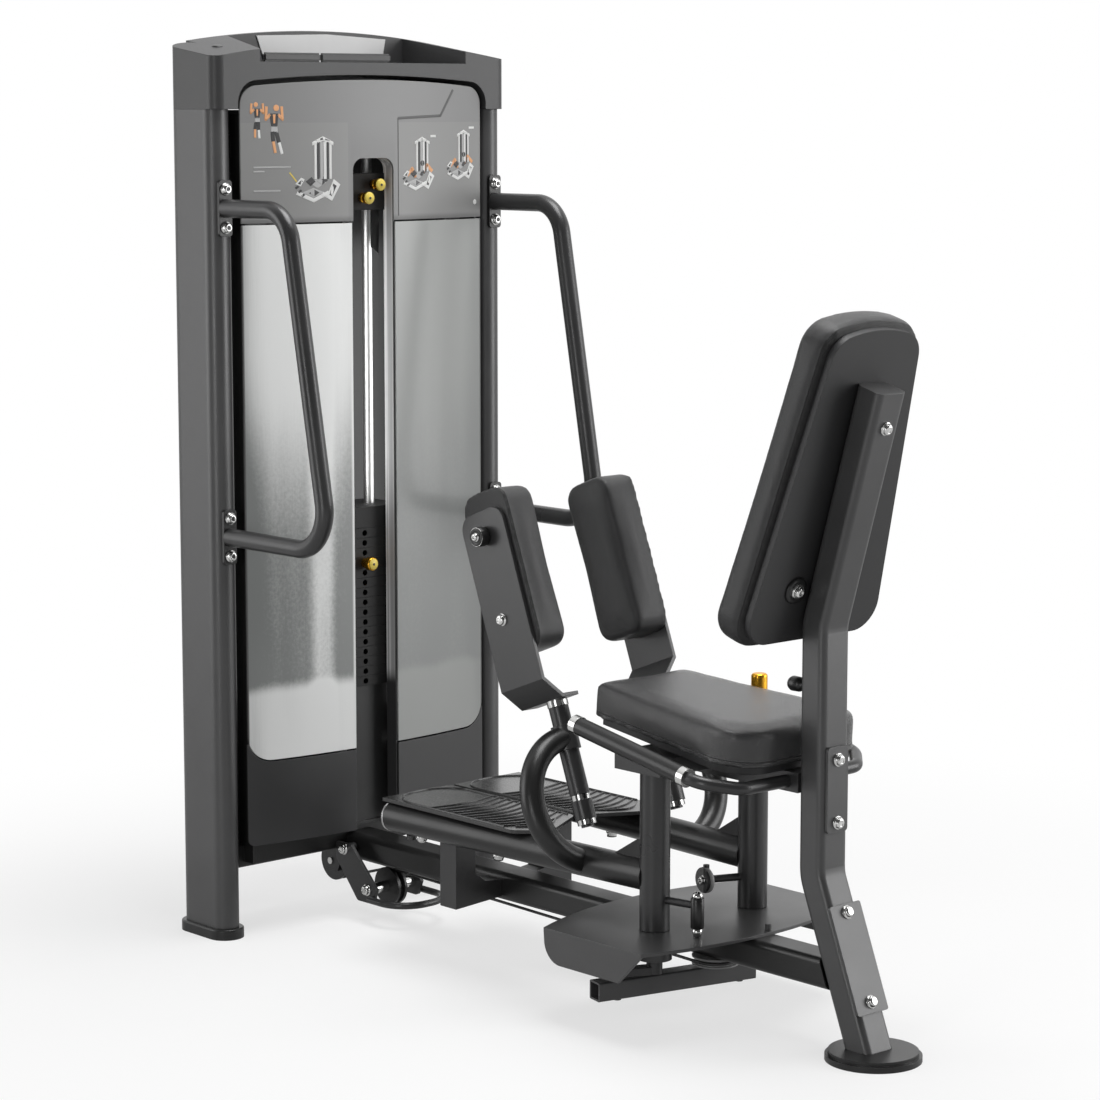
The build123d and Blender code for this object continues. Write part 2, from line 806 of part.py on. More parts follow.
# The deck that carries both posts: bowed fore and aft, with two down-turned edges.
deck_x0 = tower_x + 732.5
deck_x1 = tower_x + 949.0
deck_bow_x0 = tower_x + 685.0
deck_bow_x1 = tower_x + 986.0
skirt_z = 93.0
housing_z = 101.0
housing_radius = 27.0
deck_hole = spindle_radius + running_fit
with BuildPart() as base_plate:
    with BuildSketch(Plane.XY.offset(main_beam_top)):
        with BuildLine():
            Line((deck_x0, -deck_half), (deck_x1, -deck_half))
            ThreePointArc((deck_x1, -deck_half), (deck_bow_x1, 0), (deck_x1, deck_half))
            Line((deck_x1, deck_half), (deck_x0, deck_half))
            ThreePointArc((deck_x0, deck_half), (deck_bow_x0, 0), (deck_x0, -deck_half))
        make_face()
    extrude(amount=deck_thick)
    for edge_y in (-deck_half, deck_half - deck_thick):
        with BuildSketch(Plane.XZ.offset(-edge_y - deck_thick)):
            with BuildLine():
                Polyline(
                    (deck_x0, main_beam_top),
                    (deck_x1, main_beam_top),
                    (deck_x1 - 50, skirt_z),
                    (deck_x0 + 4, skirt_z),
                    close=True,
                )
            skirt = make_face()
            fillet(skirt.vertices().group_by(Axis.Y)[0].sort_by(Axis.X)[0], 36)
            fillet(skirt.vertices().group_by(Axis.Y)[0].sort_by(Axis.X)[-1], 30)
        extrude(amount=deck_thick)
    with BuildSketch(Plane.XY.offset(housing_z)):
        with Locations((post_x, -post_y), (post_x, post_y)):
            Circle(housing_radius)
    extrude(amount=main_beam_top - housing_z)
    with BuildSketch(Plane.XY.offset(housing_z - 1)):
        with Locations((post_x, -post_y), (post_x, post_y)):
            Circle(deck_hole)
    extrude(amount=deck_top - housing_z + 2, mode=Mode.SUBTRACT)
    with BuildSketch(Plane.XY.offset(deck_top)):
        with Locations((tower_x + 972, 22)):
            Circle(5)
    extrude(amount=9)
base_plate.part.label = "base_plate"
export_step(base_plate.part, "parts/base_plate.step")

rest_top = arm_z - arm_radius - 0.4
rest_inner = 86.0
rest_outer = 128.0
with BuildPart() as arm_rests:
    for _, sign in sides:
        with BuildSketch(Plane.YZ.offset(tower_x + 370)):
            with BuildLine():
                Polyline(
                    (sign * main_beam_half, 102),
                    (sign * rest_outer, 96),
                    (sign * rest_outer, rest_top),
                    (sign * rest_inner, rest_top),
                    (sign * rest_inner, 150),
                    (sign * (rest_inner - 22), 134),
                    (sign * main_beam_half, 130),
                    close=True,
                )
            make_face()
        extrude(amount=40)
arm_rests.part.label = "arm_rests"
export_step(arm_rests.part, "parts/arm_rests.step")

# ---------------------------------------------------------------- rear upright
back_lean = atan2(105.0, 356.0)
with BuildPart() as rear_upright:
    with BuildLine() as leg_route:
        FilletPolyline(
            (leg_centre(-20), 0, -20),
            (leg_x, 0, leg_low_bend_z),
            (leg_x, 0, leg_high_bend_z),
            (leg_x + 356 * tan(back_lean), 0, leg_high_bend_z + 356),
            radius=70,
        )
    leg_start = Plane(origin=leg_route.line @ 0, x_dir=(0, 1, 0), z_dir=leg_route.line % 0)
    leg_end = Plane(origin=leg_route.line @ 1, x_dir=(0, 1, 0), z_dir=leg_route.line % 1)
    with BuildSketch(leg_start) as section:
        RectangleRounded(post_leg_width, post_leg_depth, 11)
        RectangleRounded(
            post_leg_width - 2 * beam_wall, post_leg_depth - 2 * beam_wall, 8, mode=Mode.SUBTRACT
        )
    sweep(section.sketch, path=leg_route.line)
    with BuildSketch(leg_end):
        RectangleRounded(post_leg_width, post_leg_depth, 11)
    extrude(amount=-end_cap_thick)
    add_block(
        (leg_centre(0) - rear_foot_radius, -post_leg_width, -rear_foot_radius),
        (leg_centre(0) + rear_foot_radius, post_leg_width, rear_foot_height),
        Mode.SUBTRACT,
    )
rear_upright.part.label = "rear_upright"
export_step(rear_upright.part, "parts/rear_upright.step")

with BuildPart() as rear_foot:
    add_disc(Plane((rear_foot_x, 0, 0)), 0, 9, rear_foot_radius)
    add_disc(Plane((rear_foot_x, 0, 0)), 9, rear_foot_height, rear_foot_radius - 5)
rear_foot.part.label = "rear_foot"
export_step(rear_foot.part, "parts/rear_foot.step")

low_leg_up = Vector(-sin(leg_lean_low), 0, cos(leg_lean_low))
low_leg_back = Vector(cos(leg_lean_low), 0, sin(leg_lean_low))
splice_plane = Plane(
    origin=Vector(leg_centre(137), 0, 137) + low_leg_back * (post_leg_depth / 2),
    x_dir=(0, 1, 0),
    z_dir=low_leg_back,
)
clamp_plane = Plane(
    origin=(leg_x + post_leg_depth / 2, 0, 395), x_dir=(0, 1, 0), z_dir=(1, 0, 0)
)
with BuildPart() as rear_joint_plates:
    with BuildSketch(splice_plane):
        RectangleRounded(66, 166, 4)
    extrude(amount=splice_thick)
    with BuildSketch(clamp_plane):
        RectangleRounded(44, 130, 6)
    extrude(amount=splice_thick)
rear_joint_plates.part.label = "rear_joint_plates"
export_step(rear_joint_plates.part, "parts/rear_joint_plates.step")

# The back pad leans on the upper bend; its board faces the upright.
back_out = Vector(-cos(back_lean), 0, sin(back_lean))
back_up = Vector(sin(back_lean), 0, cos(back_lean))
back_origin = Vector(leg_x, 0, leg_high_bend_z) + back_out * (post_leg_depth / 2)
back_face = Plane(origin=back_origin, x_dir=(0, -1, 0), z_dir=back_out)


def back_outline(inset):
    """Draws the back pad's outline, narrower towards its arched top."""
    with BuildLine() as edges:
        Polyline(
            (-104 + inset, 448 - inset),
            (-156 + inset, -47 + inset),
            (156 - inset, -47 + inset),
            (104 - inset, 448 - inset),
        )
        ThreePointArc((104 - inset, 448 - inset), (0, 465 - inset), (-104 + inset, 448 - inset))
    outline = make_face(edges.edges())
    fillet(outline.vertices(), 50 - inset / 2)


def seat_outline(inset):
    """Draws the seat's outline, narrow at the front, on its tilted plane."""
    with BuildLine() as edges:
        Polyline(
            (inset, -97 + inset),
            (300, -140 + inset),
            (368 - inset, -140 + inset),
            (368 - inset, 140 - inset),
            (300, 140 - inset),
            (inset, 97 - inset),
            close=True,
        )
    outline = make_face(edges.edges())
    fillet(outline.vertices().group_by(Axis.X)[-1], 62 - inset / 2)
    fillet(outline.vertices().group_by(Axis.X)[0], 25)


seat_along = Vector(cos(radians(seat_tilt)), 0, -sin(radians(seat_tilt)))
seat_up = Vector(sin(radians(seat_tilt)), 0, cos(radians(seat_tilt)))
seat_plane = Plane(
    origin=Vector(seat_top_x, 0, seat_top_z) - seat_up * seat_thick,
    x_dir=seat_along,
    z_dir=seat_up,
)
with BuildPart() as seat_pad:
    with BuildSketch(seat_plane) as seat_sketch:
        seat_outline(0)
    extrude(amount=seat_thick)
    fillet(seat_pad.faces().sort_by(Axis.Z)[-1].edges(), 12)
seat_pad.part.label = "seat_pad"
export_step(seat_pad.part, "parts/seat_pad.step")

with BuildPart() as back_pad:
    with BuildSketch(back_face.offset(board_thick)):
        back_outline(0)
    extrude(amount=back_thick)
    fillet(back_pad.faces().sort_by(Axis.X)[0].edges(), 14)
back_pad.part.label = "back_pad"
export_step(back_pad.part, "parts/back_pad.step")

with BuildPart() as pad_boards:
    with BuildSketch(seat_plane):
        seat_outline(12)
    extrude(amount=-board_thick)
    with BuildSketch(back_face):
        back_outline(14)
    extrude(amount=board_thick)
pad_boards.part.label = "pad_boards"
export_step(pad_boards.part, "parts/pad_boards.step")

# ---------------------------------------------------------------- seat frame
board_under = seat_plane.offset(-board_thick)


def board_z(x):
    """Height of the seat board's underside."""
    rise = board_under.origin
    return rise.Z - (x - rise.X) * tan(radians(seat_tilt))


channel_wall = 5.0
bush_radius = 19.0
start_pin_place = (tower_x + 840, 134)
start_pin_radius = 5.0
with BuildPart() as seat_frame:
    add_block(
        (channel_x0, -channel_half, channel_high - channel_wall),
        (channel_x1, channel_half, channel_high),
    )
    for x in (channel_x0, channel_x1 - channel_wall):
        add_block((x, -channel_half, channel_low), (x + channel_wall, channel_half, channel_high))
    for y in (-channel_half, channel_half - channel_wall):
        add_block((channel_x0, y, channel_low), (channel_x1, y + channel_wall, channel_high))
    with BuildSketch(Plane.XY.offset(channel_low)):
        with Locations((post_x, -post_y), (post_x, post_y)):
            Circle(bush_radius)
    extrude(amount=channel_high - channel_low)
    add_block(
        (channel_x0 - 10, -main_beam_half, seat_beam_low),
        (leg_x - post_leg_depth / 2, main_beam_half, seat_beam_high),
    )
    for x in (tower_x + 790, tower_x + 980):
        with BuildSketch(Plane.XZ.offset(-main_beam_half)):
            with BuildLine():
                Polyline(
                    (x, seat_beam_high - 20),
                    (x + 60, seat_beam_high - 20),
                    (x + 60, board_z(x + 60)),
                    (x, board_z(x)),
                    close=True,
                )
            make_face()
        extrude(amount=2 * main_beam_half)
    with BuildSketch(Plane.XY.offset(channel_low - 1)):
        with Locations((post_x, -post_y), (post_x, post_y)):
            Circle(top_pin_radius + running_fit)
    extrude(amount=24, mode=Mode.SUBTRACT)
    with BuildSketch(Plane.XY.offset(channel_high - channel_wall - 1)):
        with Locations(start_pin_place):
            Circle(start_pin_radius + running_fit)
    extrude(amount=channel_wall + 2, mode=Mode.SUBTRACT)
seat_frame.part.label = "seat_frame"
export_step(seat_frame.part, "parts/seat_frame.step")

handle_radius = 10.0
grip_radius = 14.0
grip_start = 14.0
grip_end = 240.0
collar_length = 13.0
grip_planes = []
with BuildPart() as seat_handles:
    for _, sign in sides:
        with BuildLine() as handle_route:
            FilletPolyline(
                at(741, sign * 170, 459.5),
                at(1012, sign * 170, 409.6),
                at(1056, sign * 125, 401.0),
                at(1056, sign * (main_beam_half + 0.2), 400.0),
                radius=(45, 30),
            )
        add_tube(handle_route.line, handle_radius)
        grip_planes.append(Plane(origin=handle_route.line @ 0, z_dir=handle_route.line % 0))
seat_handles.part.label = "seat_handles"
export_step(seat_handles.part, "parts/seat_handles.step")

with BuildPart() as seat_grips:
    for plane in grip_planes:
        add_disc(plane, grip_start, grip_end, grip_radius, handle_radius)
seat_grips.part.label = "seat_grips"
export_step(seat_grips.part, "parts/seat_grips.step")

with BuildPart() as grip_collars:
    for plane in grip_planes:
        add_disc(plane, grip_start - collar_length, grip_start, grip_radius + 1, handle_radius)
        add_disc(plane, grip_end, grip_end + collar_length, grip_radius + 1, handle_radius)
grip_collars.part.label = "grip_collars"
export_step(grip_collars.part, "parts/grip_collars.step")

with BuildPart() as start_pin:
    start_plane = Plane((*start_pin_place, channel_high))
    add_disc(start_plane, -20, 62, start_pin_radius)
    add_disc(start_plane, 0.3, 6, 11)
    add_disc(start_plane, 62, 90, 13)
    fillet(start_pin.edges().filter_by(GeomType.CIRCLE).group_by(Axis.Z)[-1], 5)
start_pin.part.label = "start_pin"
export_step(start_pin.part, "parts/start_pin.step")

# ---------------------------------------------------------------- assist handles
handle_plate_x = upright_front
handle_plate_thick = 6.0
handle_tube_radius = 15.0
handle_high = cap_seam - 161.0
handle_ends = (handle_high, handle_high - 544.0)
bolt_spread = 31.5
for side, sign in sides:
    with BuildPart() as assist_handle:
        with BuildLine() as grip_route:
            FilletPolyline(
                at(handle_plate_x + handle_plate_thick, sign * upright_y, handle_ends[0]),
                at(194, sign * upright_y, handle_ends[0]),
                at(297, sign * upright_y, handle_ends[1]),
                at(handle_plate_x + handle_plate_thick, sign * upright_y, handle_ends[1]),
                radius=(62, 68),
            )
        add_tube(grip_route.line, handle_tube_radius)
    assist_handle.part.label = f"{side}_assist_handle"
    export_step(assist_handle.part, f"parts/{side}_assist_handle.step")

with BuildPart() as handle_mounts:
    for _, sign in sides:
        for z in handle_ends:
            plate = Plane(
                origin=at(handle_plate_x, sign * upright_y, z), x_dir=(0, 1, 0), z_dir=(1, 0, 0)
            )
            with BuildSketch(plate):
                RectangleRounded(26, 92, 6)
            extrude(amount=handle_plate_thick)
            for shift in (-bolt_spread, bolt_spread):
                seat = Plane(
                    origin=plate.origin + Vector(handle_plate_thick, 0, shift),
                    x_dir=(0, 1, 0),
                    z_dir=(1, 0, 0),
                )
                add_bolt(seat, 8)
handle_mounts.part.label = "handle_mounts"
export_step(handle_mounts.part, "parts/handle_mounts.step")

# ---------------------------------------------------------------- leg arms
lean = radians(pad_lean)
pad_up = Vector(-sin(lean), 0, cos(lean))
pad_fore = Vector(cos(lean), 0, sin(lean))
link_top = 75.0
link_low = 45.0
link_half = 15.0
link_pin = 6.0
crank_low = 78.0
crank_high = 90.0
cam_radius = post_y - centre_radius
cam_rim = cam_radius - cable_diameter / 2 - 0.4
crank_half = cam_rim - crank_radius
splay = radians(arm_splay)


index_z = 196.0
index_turn = {"left": 11.0, "right": -112.0}
index_reach = 79.0
cam_from = -98.0
cam_to = -35.0
loop_high = -2.0
boss_radius = 20.0
foot_bolt_x = (tower_x + 306, tower_x + 512)
fold_size = 33.0
fold_top = 92.0
bracket_top = 377.0
collar_low = -134.0
collar_top = -103.0
shaft_end = -146.0
pad_along = 274.0


def cam_point(radius, turn):
    """A point of the cam, from its spindle's axis."""
    return (radius * cos(radians(turn)), radius * sin(radians(turn)))


def crank_pin(sign):
    """The crank pin's place at rest, outward on the left arm and inward on the right."""
    turn = radians(-90 - crank_phase) if sign < 0 else radians(-90 + crank_phase)
    return Vector(post_x + crank_radius * cos(turn), sign * post_y + crank_radius * sin(turn), 0)


for side, sign in sides:
    post_axis = Plane((post_x, sign * post_y, 0))
    arm_out = Vector(-cos(splay), sign * sin(splay), 0)
    arm_root = Vector(post_x, sign * post_y, arm_z)
    shaft_plane = Plane(
        origin=(sleeve_x, sign * sleeve_y, sleeve_z), x_dir=pad_fore, z_dir=pad_up
    )
    pin = crank_pin(sign)

    with BuildPart() as post:
        add_disc(post_axis, post_foot, post_head, post_radius)
        add_disc(post_axis, post_head, post_head + 20, top_pin_radius)
        add_disc(post_axis, crank_low, post_foot, spindle_radius)
        turn = atan2(pin.Y - sign * post_y, pin.X - post_x)
        with BuildSketch(Plane((post_x, sign * post_y, crank_low))) as crank:
            with Locations((crank_radius / 2 * cos(turn), crank_radius / 2 * sin(turn))):
                SlotCenterToCenter(crank_radius, 2 * crank_half, rotation=degrees(turn))
            if sign > 0:
                with BuildLine():
                    Line((0, 0), cam_point(cam_rim, cam_from))
                    ThreePointArc(
                        cam_point(cam_rim, cam_from),
                        cam_point(cam_rim, (cam_from + cam_to) / 2),
                        cam_point(cam_rim, cam_to),
                    )
                    Line(cam_point(cam_rim, cam_to), (0, 0))
                make_face()
                with BuildLine():
                    Polyline(
                        cam_point(cam_rim - 12, cam_from),
                        cam_point(cam_radius + 4, cam_from),
                        cam_point(cam_radius + 4, cam_from + 6),
                        cam_point(cam_rim - 12, cam_from + 6),
                        close=True,
                    )
                make_face()
        extrude(crank.sketch, amount=crank_high - crank_low)
        add_disc(Plane((pin.X, pin.Y, 0)), link_low - 4, crank_high, link_pin)
        index = Plane(
            origin=(post_x, sign * post_y, index_z),
            x_dir=(0, 0, 1),
            z_dir=(cos(radians(index_turn[side])), sin(radians(index_turn[side])), 0),
        )
        add_disc(index, post_radius - 2, index_reach, 6)
        tip = index.origin + index.z_dir * index_reach
        if sign < 0:
            add_disc(Plane((tip.X, tip.Y, 0)), index_z - 34, index_z + 12, 10)
            add_disc(Plane((tip.X, tip.Y, 0)), deck_top + 1, index_z - 34, 6)
        else:
            add_disc(index, index_reach, index_reach + 6, 20)
            add_disc(Plane((tip.X, tip.Y, 0)), index_z, index_z + 24, 5)
    post.part.label = f"{side}_post"
    export_step(post.part, f"parts/{side}_post.step")

    arm_axis = Plane(origin=arm_root, x_dir=(0, 0, 1), z_dir=arm_out)
    arm_side = Plane(origin=arm_root, x_dir=arm_out, z_dir=arm_out.cross(Vector(0, 0, 1)))
    with BuildPart() as arm_tube:
        add_disc(arm_axis, 10, arm_length, arm_radius, arm_radius - beam_wall)
        add_disc(arm_axis, arm_length, arm_length + 3, arm_radius)
        with BuildSketch(arm_side.offset(-4)) as gusset:
            with BuildLine():
                Polyline(
                    (post_radius - 2, arm_radius - 2),
                    (post_radius - 2, arm_radius + 30),
                    (post_radius + 8, arm_radius + 30),
                    (post_radius + 60, arm_radius - 2),
                    close=True,
                )
            make_face()
        extrude(gusset.sketch, amount=8)
        with BuildSketch(Plane((post_x, sign * post_y, arm_z - 40))) as cope:
            Circle(post_radius)
        extrude(cope.sketch, amount=110, mode=Mode.SUBTRACT)
    arm_tube.part.label = f"{side}_arm_tube"
    export_step(arm_tube.part, f"parts/{side}_arm_tube.step")

    loop_plane = Plane(
        origin=(sleeve_x, sign * sleeve_y, sleeve_z), x_dir=(0, sign, 0), z_dir=pad_fore * sign
    )
    with BuildPart() as arm_loop:
        with BuildLine() as loop_route:
            ThreePointArc(*[
                loop_plane.from_local_coords(
                    (
                        loop_radius * cos(radians(turn)),
                        loop_high - loop_radius + loop_radius * sin(radians(turn)),
                    )
                )
                for turn in (90, 5, -80)
            ])
        add_tube(loop_route.line, loop_tube / 2)
        with BuildSketch(shaft_plane.offset(-60)) as sleeve_cope:
            Circle(boss_radius)
        extrude(sleeve_cope.sketch, amount=120, mode=Mode.SUBTRACT)
        with BuildSketch(arm_axis) as arm_cope:
            Circle(arm_radius)
        extrude(arm_cope.sketch, amount=arm_length, mode=Mode.SUBTRACT)
    arm_loop.part.label = f"{side}_arm_loop"
    export_step(arm_loop.part, f"parts/{side}_arm_loop.step")

    sleeve_bore = shaft_radius + running_fit
    with BuildPart() as shaft_sleeve:
        add_disc(shaft_plane, sleeve_low, sleeve_high, sleeve_radius, sleeve_bore)
        boss_plane = shaft_plane.offset(loop_high)
        add_disc(boss_plane, -boss_radius, boss_radius, boss_radius, sleeve_bore)
    shaft_sleeve.part.label = f"{side}_shaft_sleeve"
    export_step(shaft_sleeve.part, f"parts/{side}_shaft_sleeve.step")

    with BuildPart() as foot_plate:
        with BuildSketch(Plane.XY.offset(foot_plate_z)) as tread:
            with BuildLine():
                Polyline(
                    (tower_x + 250, sign * 4),
                    (tower_x + 562, sign * 4),
                    (tower_x + 618, sign * 106),
                    (tower_x + 574, sign * 151),
                    (tower_x + 250, sign * 151),
                    close=True,
                )
            outline = make_face()
            corners = outline.vertices().sort_by(Axis.X)
            fillet(corners[2:], 20)
            fillet([v for v in corners[:2] if abs(v.Y) > 100], nose_outer)
            fillet([v for v in corners[:2] if abs(v.Y) < 100], nose_inner)
        extrude(tread.sketch, amount=foot_plate_thick)
        for x in foot_bolt_x:
            away = (post_x - x) / cos(splay)
            place = arm_root + arm_out * away
            add_disc(Plane((place.X, place.Y, 0)), arm_z - arm_radius - 8, arm_z - arm_radius, 8)
    foot_plate.part.label = f"{side}_foot_plate"
    export_step(foot_plate.part, f"parts/{side}_foot_plate.step")

    # Pad bracket: a folded plate whose foot stands on the turning shaft.
    bracket_plane = Plane(
        origin=Vector(sleeve_x, 0, sleeve_z) - pad_fore * bracket_back,
        x_dir=(0, sign, 0),
        z_dir=pad_fore * sign,
    )
    corner = bracket_thick * tan(radians(22.5))
    outer_y = pad_face_y + bracket_thick
    inner_fold = outer_y - fold_size
    foot_w = fold_top - fold_size
    with BuildPart() as pad_bracket:
        with BuildSketch(bracket_plane) as fold_profile:
            with BuildLine():
                Polyline(
                    (outer_y, bracket_top),
                    (outer_y, fold_top),
                    (inner_fold, foot_w),
                    (sleeve_y - 18, foot_w),
                    (sleeve_y - 18, foot_w + bracket_thick),
                    (inner_fold - corner, foot_w + bracket_thick),
                    (pad_face_y, fold_top + corner),
                    (pad_face_y, bracket_top),
                    close=True,
                )
            make_face()
        extrude(fold_profile.sketch, amount=bracket_width / 2, both=True)
        fillet(pad_bracket.edges().filter_by(Axis.Y).sort_by(Axis.Z)[-2:], 26)
        add_disc(shaft_plane, shaft_end, foot_w, shaft_radius)
        add_disc(shaft_plane, collar_low, collar_top, 17)
    pad_bracket.part.label = f"{side}_pad_bracket"
    export_step(pad_bracket.part, f"parts/{side}_pad_bracket.step")

    with BuildPart() as pad_fittings:
        for low, high, radius in (
            (collar_top, sleeve_low - 0.4, 15),
            (collar_low - 8, collar_low, 15),
            (sleeve_high + 0.4, foot_w, 17),
        ):
            add_disc(shaft_plane, low, high, radius, shaft_radius)
        for along, fore, knob in ((337, -17.5, True), (202, -25, False)):
            place = Vector(sleeve_x, sign * outer_y, sleeve_z) + pad_up * along + pad_fore * fore
            outward = Plane(origin=place, x_dir=(1, 0, 0), z_dir=(0, sign, 0))
            if knob:
                add_disc(outward, 0, 5, 10)
                add_disc(outward, 5, 19, 15)
            else:
                add_bolt(outward, 7)
    pad_fittings.part.label = f"{side}_pad_fittings"
    export_step(pad_fittings.part, f"parts/{side}_pad_fittings.step")

    pad_middle = (
        Vector(sleeve_x, sign * pad_face_y, sleeve_z) + pad_up * pad_along + pad_fore * -9.3
    )
    with BuildPart() as knee_pad:
        with BuildSketch(Plane(origin=pad_middle, x_dir=pad_fore, z_dir=(0, -sign, 0))):
            RectangleRounded(knee_pad_width, knee_pad_length, 30)
        extrude(amount=knee_pad_thick)
        fillet(knee_pad.faces().sort_by(Axis.Y)[0 if sign > 0 else -1].edges(), 12)
    knee_pad.part.label = f"{side}_knee_pad"
    export_step(knee_pad.part, f"parts/{side}_knee_pad.step")

# ---------------------------------------------------------------- cross link
near_pin, far_pin = crank_pin(-1), crank_pin(1)
link_line = far_pin - near_pin
link_span = link_line.length
closest_span = 2 * post_y
link_slot_play = 1.0
link_side_play = 1.3
link_wall = 3.0
link_near_end = 40.0
link_far_end = 22.0
link_frame = Plane(origin=(near_pin.X, near_pin.Y, link_low), x_dir=link_line, z_dir=(0, 0, 1))
link_along = link_frame.x_dir
link_start = link_frame.origin - link_along * link_near_end
link_height = link_top - link_low
with BuildPart() as cross_link:
    with BuildSketch(Plane(origin=link_start, x_dir=(0, 0, 1), z_dir=link_along)):
        with Locations((link_height / 2, 0)):
            RectangleRounded(link_height, 2 * link_half, link_wall)
            Rectangle(
                link_height - 2 * link_wall, 2 * (link_half - link_wall), mode=Mode.SUBTRACT
            )
    extrude(amount=link_near_end + link_span + link_far_end)
    with BuildSketch(link_frame.offset(-1)):
        Circle(link_pin + running_fit)
        slot_from = closest_span - link_slot_play
        slot_to = link_span + link_slot_play
        with Locations(((slot_from + slot_to) / 2, 0)):
            SlotCenterToCenter(slot_to - slot_from, 2 * (link_pin + link_side_play))
    extrude(amount=link_height + 2, mode=Mode.SUBTRACT)
cross_link.part.label = "cross_link"
export_step(cross_link.part, "parts/cross_link.step")

# ---------------------------------------------------------------- pins and bolts
across = (0, -1, 0)
bracket_outer = bracket_y + bracket_plate
leg_back = leg_x + post_leg_depth / 2
clamp_bolts = (345.0, 440.0)
splice_bolts = (-66.0, 70.0)
board_bolt_z = 945.0
board_washer = 20.0
board_corner = (56.0, 50.0)
with BuildPart() as frame_bolts:
    for centre in (top_centre, rear_centre):
        pulley_axis = Plane(origin=centre, x_dir=(1, 0, 0), z_dir=across)
        add_disc(pulley_axis, -ear_outer - 3, ear_outer + 3, pin_radius)
    idler_axis = Plane(origin=idler_centre, x_dir=(1, 0, 0), z_dir=across)
    spacer_start = pulley_width / 2 + 0.4
    add_disc(idler_axis, -bracket_outer, bracket_outer, pin_radius)
    for start, end in ((-bracket_y, -spacer_start), (spacer_start, bracket_y)):
        add_disc(idler_axis, start, end, 10, pin_radius)
    add_bolt(idler_axis.offset(bracket_outer), 8)
    under_beam = Plane((centre_pulley_x, 0, 0))
    centre_foot = drive_z - slim_pulley_width / 2
    add_disc(under_beam, centre_foot - 2.6, centre_foot - 0.3, 10)
    add_disc(under_beam, centre_foot - 0.3, main_beam_bottom, pin_radius)
    for way in (1, -1):
        bracket_side = at(stand_off_x, -way * bracket_outer, stand_off_z)
        add_bolt(Plane(origin=bracket_side, x_dir=(1, 0, 0), z_dir=(0, -way, 0)), 8)
    for z in clamp_bolts:
        clamp_face = (leg_back + splice_thick, 0, z)
        add_bolt(Plane(origin=clamp_face, x_dir=(0, 1, 0), z_dir=(1, 0, 0)), 8)
    for shift in splice_bolts:
        splice_face = splice_plane.origin + low_leg_up * shift + low_leg_back * splice_thick
        add_bolt(Plane(origin=splice_face, x_dir=(0, 1, 0), z_dir=low_leg_back), 8)
    along = (board_bolt_z - leg_high_bend_z) / cos(back_lean)
    behind = back_origin + back_up * along - back_out * post_leg_depth
    add_bolt(Plane(origin=behind, x_dir=(0, 1, 0), z_dir=back_out * -1), 8)
    for _, sign in sides:
        corner = back_origin + back_up * board_corner[1] + Vector(0, sign * board_corner[0], 0)
        washer = Plane(origin=corner, x_dir=(0, 1, 0), z_dir=back_out * -1)
        add_disc(washer, 0, 3, board_washer)
        add_bolt(washer.offset(3), 9)
frame_bolts.part.label = "frame_bolts"
export_step(frame_bolts.part, "parts/frame_bolts.step")
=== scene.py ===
import json
from math import atan2, cos, hypot, pi, radians, sin, sqrt

import bmesh
import bpy
import numpy as np
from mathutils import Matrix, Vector


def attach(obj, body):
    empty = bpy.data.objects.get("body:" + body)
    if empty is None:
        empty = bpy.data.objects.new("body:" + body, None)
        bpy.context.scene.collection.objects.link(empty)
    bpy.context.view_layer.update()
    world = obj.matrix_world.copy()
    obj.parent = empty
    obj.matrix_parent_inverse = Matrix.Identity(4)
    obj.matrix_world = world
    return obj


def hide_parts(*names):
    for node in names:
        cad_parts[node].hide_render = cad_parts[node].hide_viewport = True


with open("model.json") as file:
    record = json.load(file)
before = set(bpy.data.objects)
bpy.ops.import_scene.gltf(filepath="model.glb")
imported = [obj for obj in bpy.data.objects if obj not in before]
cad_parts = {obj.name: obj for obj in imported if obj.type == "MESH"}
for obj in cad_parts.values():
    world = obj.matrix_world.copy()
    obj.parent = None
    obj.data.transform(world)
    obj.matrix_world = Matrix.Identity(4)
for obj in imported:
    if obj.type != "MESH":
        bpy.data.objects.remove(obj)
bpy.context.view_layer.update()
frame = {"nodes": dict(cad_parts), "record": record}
nodes = frame["nodes"]
scene = bpy.context.scene

# ------------------------------------------------------------ sizes of the machine, metres
tower_x = -0.58825
front_crown = tower_x + 0.052
panel_half, panel_bow = 0.262, 0.026
upright_y = 0.293
handle_ends = (1.231, 0.687)
leg_x = tower_x + 1.104
leg_half = 0.024
leg_bend_z = 0.262
low_slope = 98.5 / 250.0
low_lean = atan2(98.5, 250.0)
back_lean = atan2(105.0, 356.0)
back_out = Vector((-cos(back_lean), 0, sin(back_lean)))
back_up = Vector((sin(back_lean), 0, cos(back_lean)))
back_bend_z, back_bolt_z = 0.640, 0.945
back_origin = Vector((leg_x, 0, back_bend_z)) + back_out * leg_half
seat_tilt = radians(4.3)
seat_up = Vector((sin(seat_tilt), 0, cos(seat_tilt)))
seat_top = Vector((tower_x + 0.7077, 0, 0.514))
seat_thick, back_gap = 0.058, 0.012
post_x, post_y = 0.855, 0.107
index_z = 0.196
arm_z, arm_reach, arm_splay = 0.230, 0.595, radians(3.0)
tread_z = 0.2612
bracket_foot = (0.642, 0.146, 0.415)
knee_board_y = 0.140
pad_lean = radians(20.8)
pad_up = Vector((-sin(pad_lean), 0, cos(pad_lean)))
pad_fore = Vector((cos(pad_lean), 0, sin(pad_lean)))
sides = (("left", -1), ("right", 1))
x_axis, y_axis, z_axis = Vector((1, 0, 0)), Vector((0, 1, 0)), Vector((0, 0, 1))


